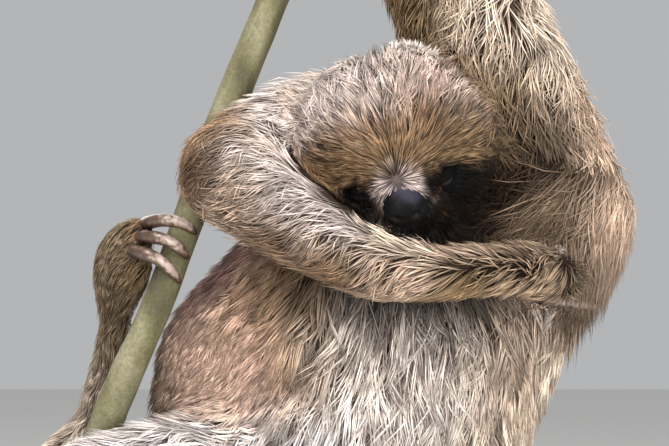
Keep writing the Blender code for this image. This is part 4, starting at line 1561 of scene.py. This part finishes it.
stemSettings = {
    "levels": 3, "edge": math.radians(50),
    "ridge": 0.00050, "ridgeScale": 170.0,    # the bark's low ridges, drawn out along the stem
    "drawnOut": (1.0, 1.0, 0.22), "mossOut": (1.0, 1.0, 0.35), "grainOut": (1.0, 1.0, 0.3),
    "moss": 55, "speck": 700, "tones": (0.72, 1.2), "grain": 650, "roughness": 0.82,
    "knot": 0.0009, "knotScale": 30.0, "knotFrom": 0.52, "knotFull": 0.72,
    "colours": [(0.30, (0.24, 0.225, 0.15)), (0.45, (0.34, 0.325, 0.22)), (0.56, (0.42, 0.405, 0.29)),
                (0.70, (0.52, 0.505, 0.41))],
}


def stemTree():
    # lifts the stem's surface into ridges and knots of bark
    s = stemSettings
    tree = bpy.data.node_groups.new("barkStem", "GeometryNodeTree")
    sockets = {"Stem": "Geometry", "Ridge Height": "Float", "Ridge Scale": "Float",
               "Knot Height": "Float", "Bark": "Material"}
    for label, kind in sockets.items():
        tree.interface.new_socket(label, in_out="INPUT", socket_type="NodeSocket" + kind)
    tree.interface.new_socket("Stem", in_out="OUTPUT", socket_type="NodeSocketGeometry")
    given = tree.nodes.new("NodeGroupInput").outputs

    def worked(operation, first, second):
        node = linked(tree, "ShaderNodeMath", {0: first}, operation=operation)
        if isinstance(second, float):
            node.inputs[1].default_value = second
        else:
            tree.links.new(second, node.inputs[1])
        return node.outputs["Value"]

    place = tree.nodes.new("GeometryNodeInputPosition").outputs["Position"]
    drawn = linked(tree, "ShaderNodeVectorMath", {0: place}, {1: s["drawnOut"]}, operation="MULTIPLY")
    bark = linked(tree, "ShaderNodeTexNoise",
                  {"Vector": drawn.outputs["Vector"], "Scale": given["Ridge Scale"]}, {"Detail": 4.0})
    knots = linked(tree, "ShaderNodeTexNoise", {"Vector": place}, {"Scale": s["knotScale"], "Detail": 1.0})
    centred = worked("SUBTRACT", bark.outputs["Fac"], 0.5)
    barkHeight = worked("MULTIPLY", centred, given["Ridge Height"])
    knotShare = linked(tree, "ShaderNodeMapRange", {"Value": knots.outputs["Fac"]},
                       {"From Min": s["knotFrom"], "From Max": s["knotFull"]})
    knotHeight = worked("MULTIPLY", knotShare.outputs["Result"], given["Knot Height"])
    height = worked("ADD", barkHeight, knotHeight)
    normal = tree.nodes.new("GeometryNodeInputNormal").outputs["Normal"]
    offset = linked(tree, "ShaderNodeVectorMath", {0: normal, "Scale": height}, operation="SCALE")
    moved = linked(tree, "GeometryNodeSetPosition",
                   {"Geometry": given["Stem"], "Offset": offset.outputs["Vector"]})
    real = linked(tree, "GeometryNodeRealizeInstances", {"Geometry": moved.outputs["Geometry"]})
    dressed = linked(tree, "GeometryNodeSetMaterial",
                     {"Geometry": real.outputs["Geometry"], "Material": given["Bark"]})
    out = tree.nodes.new("NodeGroupOutput")
    tree.links.new(dressed.outputs["Geometry"], out.inputs["Stem"])
    return tree


def barkMaterial():
    s = stemSettings
    material, tree, shader = newMaterial("mossyBark")
    colour = colourRamp(tree, objectNoise(tree, s["moss"], 5, s["mossOut"]), s["colours"])
    colour = tinted(tree, colour, objectNoise(tree, s["speck"], 4), *s["tones"])
    tree.links.new(colour, shader.inputs["Base Color"])
    shader.inputs["Roughness"].default_value = s["roughness"]
    addBump(tree, shader, objectNoise(tree, s["grain"], 6, s["grainOut"]), 0.5, 0.0006)
    return material


def buildStem():
    s = stemSettings
    stem = refinedCopy("perch_stem", "perchStem", s["levels"], s["edge"])
    grow = stem.modifiers.new("bark", "NODES")
    grow.node_group = stemTree()
    setInputs(grow, {"Ridge Height": s["ridge"], "Ridge Scale": s["ridgeScale"], "Knot Height": s["knot"],
                     "Bark": barkMaterial()})
    stem = finishedCopy(stem, "perchStem")
    addPiece(stem, "stem_bark", None, "perch_stem")


woodSettings = {
    "stretch": (2.2, 26.0, 18.0), "turn": (0.12, 0.05, 0.03),    # the grain runs along the board
    "grain": {"Scale": 3.2, "Detail": 7.0, "Distortion": 0.9}, "roughness": (0.30, 0.46),
    "colours": [(0.30, (0.17, 0.105, 0.07)), (0.47, (0.27, 0.175, 0.115)), (0.58, (0.35, 0.235, 0.155)),
                (0.72, (0.42, 0.29, 0.20))],
}


def woodMaterial():
    material, tree, shader = newMaterial("oiledWood")
    place = linked(tree, "ShaderNodeMapping", {"Vector": objectPlace(tree)},
                   {"Scale": woodSettings["stretch"], "Rotation": woodSettings["turn"]})
    noise = linked(tree, "ShaderNodeTexNoise", {"Vector": place.outputs["Vector"]}, woodSettings["grain"])
    grain = noise.outputs["Fac"]
    tree.links.new(colourRamp(tree, grain, woodSettings["colours"]), shader.inputs["Base Color"])
    tree.links.new(ranged(tree, grain, *woodSettings["roughness"]), shader.inputs["Roughness"])
    addBump(tree, shader, grain, 0.25, 0.0004)
    return material


steelSettings = {
    "levels": 3, "edge": math.radians(40),
    "brush": 900, "brushOut": (1.0, 1.0, 0.05), "roughness": (0.24, 0.40),
    "colours": {"A": (0.42, 0.41, 0.39, 1), "B": (0.62, 0.61, 0.59, 1)},
    "pieces": {"stand_cup": "stemCup", "stand_rod_body": "bodyRod", "stand_rod_perch": "stemRod"},
}


def steelMaterial():
    s = steelSettings
    material, tree, shader = newMaterial("brushedSteel")
    shader.inputs["Metallic"].default_value = 1.0
    brushed = objectNoise(tree, s["brush"], 3, s["brushOut"])
    base = linked(tree, "ShaderNodeMix", {"Factor": ranged(tree, brushed, 0, 1)}, s["colours"],
                  data_type="RGBA")
    tree.links.new(base.outputs["Result"], shader.inputs["Base Color"])
    tree.links.new(ranged(tree, brushed, *s["roughness"]), shader.inputs["Roughness"])
    addBump(tree, shader, brushed, 0.2, 0.0002)
    return material


def buildSteel():
    s = steelSettings
    steel = steelMaterial()
    for node, name in s["pieces"].items():
        addPiece(refinedCopy(node, name, s["levels"], s["edge"]), "stand_metal", steel, node)


boardSettings = {
    "corner": 0.030, "cornerSteps": 14, "bevel": 0.0006, "edge": 0.0035, "edgeSteps": 6,
    "step": 0.0012,
    # the step's rim: how far within the rounded edge, and how high
    "rim": ((0.0010, 0.0), (0.0014, 0.0003), (0.0016, 0.0008), (0.0022, 0.0012)),
}


def buildBoard():
    # a slab with round corners, and a small step and a rounded edge round its top
    low, high = boxOf("stand_base")
    b = boardSettings
    half, middle = (high - low)[:2] / 2, (high + low)[:2] / 2
    top = high[2]
    arc = np.linspace(0, math.pi / 2, b["edgeSteps"] + 1)
    profile = [(b["bevel"], low[2]), (0.0, low[2] + b["bevel"])]
    rise = top - b["step"] - b["edge"]
    profile += [(b["edge"] * (1 - math.cos(a)), rise + b["edge"] * math.sin(a)) for a in arc]
    profile += [(b["edge"] + inset, top - b["step"] + height) for inset, height in b["rim"]]
    points = []
    for inset, z in profile:
        radius = b["corner"] - inset
        for corner, (sx, sy) in enumerate(((1, 1), (-1, 1), (-1, -1), (1, -1))):
            for turn in np.linspace(0, math.pi / 2, b["cornerSteps"] + 1):
                angle = corner * math.pi / 2 + turn
                x = middle[0] + sx * (half[0] - b["corner"]) + radius * math.cos(angle)
                y = middle[1] + sy * (half[1] - b["corner"]) + radius * math.sin(angle)
                points.append((x, y, z))
    sides = 4 * (b["cornerSteps"] + 1)
    faces = []
    for row in range(len(profile) - 1):
        for k in range(sides):
            a, c = row * sides + k, row * sides + (k + 1) % sides
            faces.append((a, c, c + sides, a + sides))
    faces.append(tuple(range(sides))[::-1])
    faces.append(tuple(range((len(profile) - 1) * sides, len(profile) * sides)))
    board = meshObject("displayBoard", points, faces)
    for slab in board.data.polygons[-2:]:
        slab.use_smooth = False
    addPiece(board, "stand_wood", woodMaterial(), "stand_base")


print("building claws, stem and stand")
buildClaws()
buildStem()
buildBoard()
buildSteel()


studioSettings = {
    "floorColour": (0.90, 0.895, 0.885), "floorSize": 4.0,
    "worldColour": (0.97, 0.98, 1.0), "worldStrength": 0.47,
    "camera": (0.0, -1.48, 0.2737), "focus": 1.40,
    "frameWidth": 0.28098,                # how wide the picture is at the focus
    "lamps": {
        # where, aimed at, size, power, colour
        "keyLight": ((-0.75, -0.95, 1.55), (0.0, 0.0, 0.28), 0.8, 28, (1.0, 0.98, 0.955)),
        "frontLight": ((0.25, -1.60, 0.45), (0.0, 0.0, 0.24), 1.0, 30, (1.0, 0.985, 0.965)),
        "fillLight": ((1.5, -1.2, 0.7), (0.0, 0.0, 0.25), 1.2, 9, (0.93, 0.96, 1.0)),
        "topLight": ((0.35, 0.7, 1.5), (0.0, 0.0, 0.3), 0.8, 20, (1.0, 0.99, 0.97)),
        "rearLight": ((-0.6, 1.9, 1.0), (0.0, 0.0, 0.3), 1.2, 14, (1.0, 1.0, 1.0)),
    },
}


def buildStudio():
    s = studioSettings
    side = s["floorSize"]
    corners = [(-side, -side, 0), (side, -side, 0), (side, side, 0), (-side, side, 0)]
    floor = meshObject("studioFloor", corners, [(0, 1, 2, 3)], False)
    material, tree, shader = newMaterial("paleFloor")
    colour = linear(s["floorColour"])
    plain = linked(tree, "ShaderNodeMix", {"Factor": objectNoise(tree, 3)},
                   {"A": (*colour, 1), "B": (*colour * 0.96, 1)}, data_type="RGBA")
    tree.links.new(plain.outputs["Result"], shader.inputs["Base Color"])
    shader.inputs["Roughness"].default_value = 0.9
    floor.data.materials.append(material)
    world = bpy.data.worlds.new("studio")
    bpy.context.scene.world = world
    world.use_nodes = True
    sky = world.node_tree.nodes["Background"]
    sky.inputs["Color"].default_value = (*s["worldColour"], 1)
    sky.inputs["Strength"].default_value = s["worldStrength"]


def addLamp(name, place, aim, size, power, colour):
    lamp = bpy.data.lights.new(name, "AREA")
    lamp.shape = "DISK"
    lamp.size = size
    lamp.energy = power
    lamp.color = colour
    obj = addObject(name, lamp)
    obj.location = place
    obj.rotation_euler = (Vector(aim) - Vector(place)).to_track_quat("-Z", "Y").to_euler()


def addCamera():
    s = studioSettings
    camera = bpy.data.cameras.new("camera")
    camera.sensor_width = 36
    camera.lens = 36 * s["focus"] / s["frameWidth"]
    obj = addObject("camera", camera)
    obj.location = s["camera"]
    obj.rotation_euler = (math.pi / 2, 0, 0)
    bpy.context.scene.camera = obj


print("lighting the studio")
buildStudio()
for name, lamp in studioSettings["lamps"].items():
    addLamp(name, *lamp)
addCamera()
bpy.context.scene.view_settings.view_transform = "Standard"
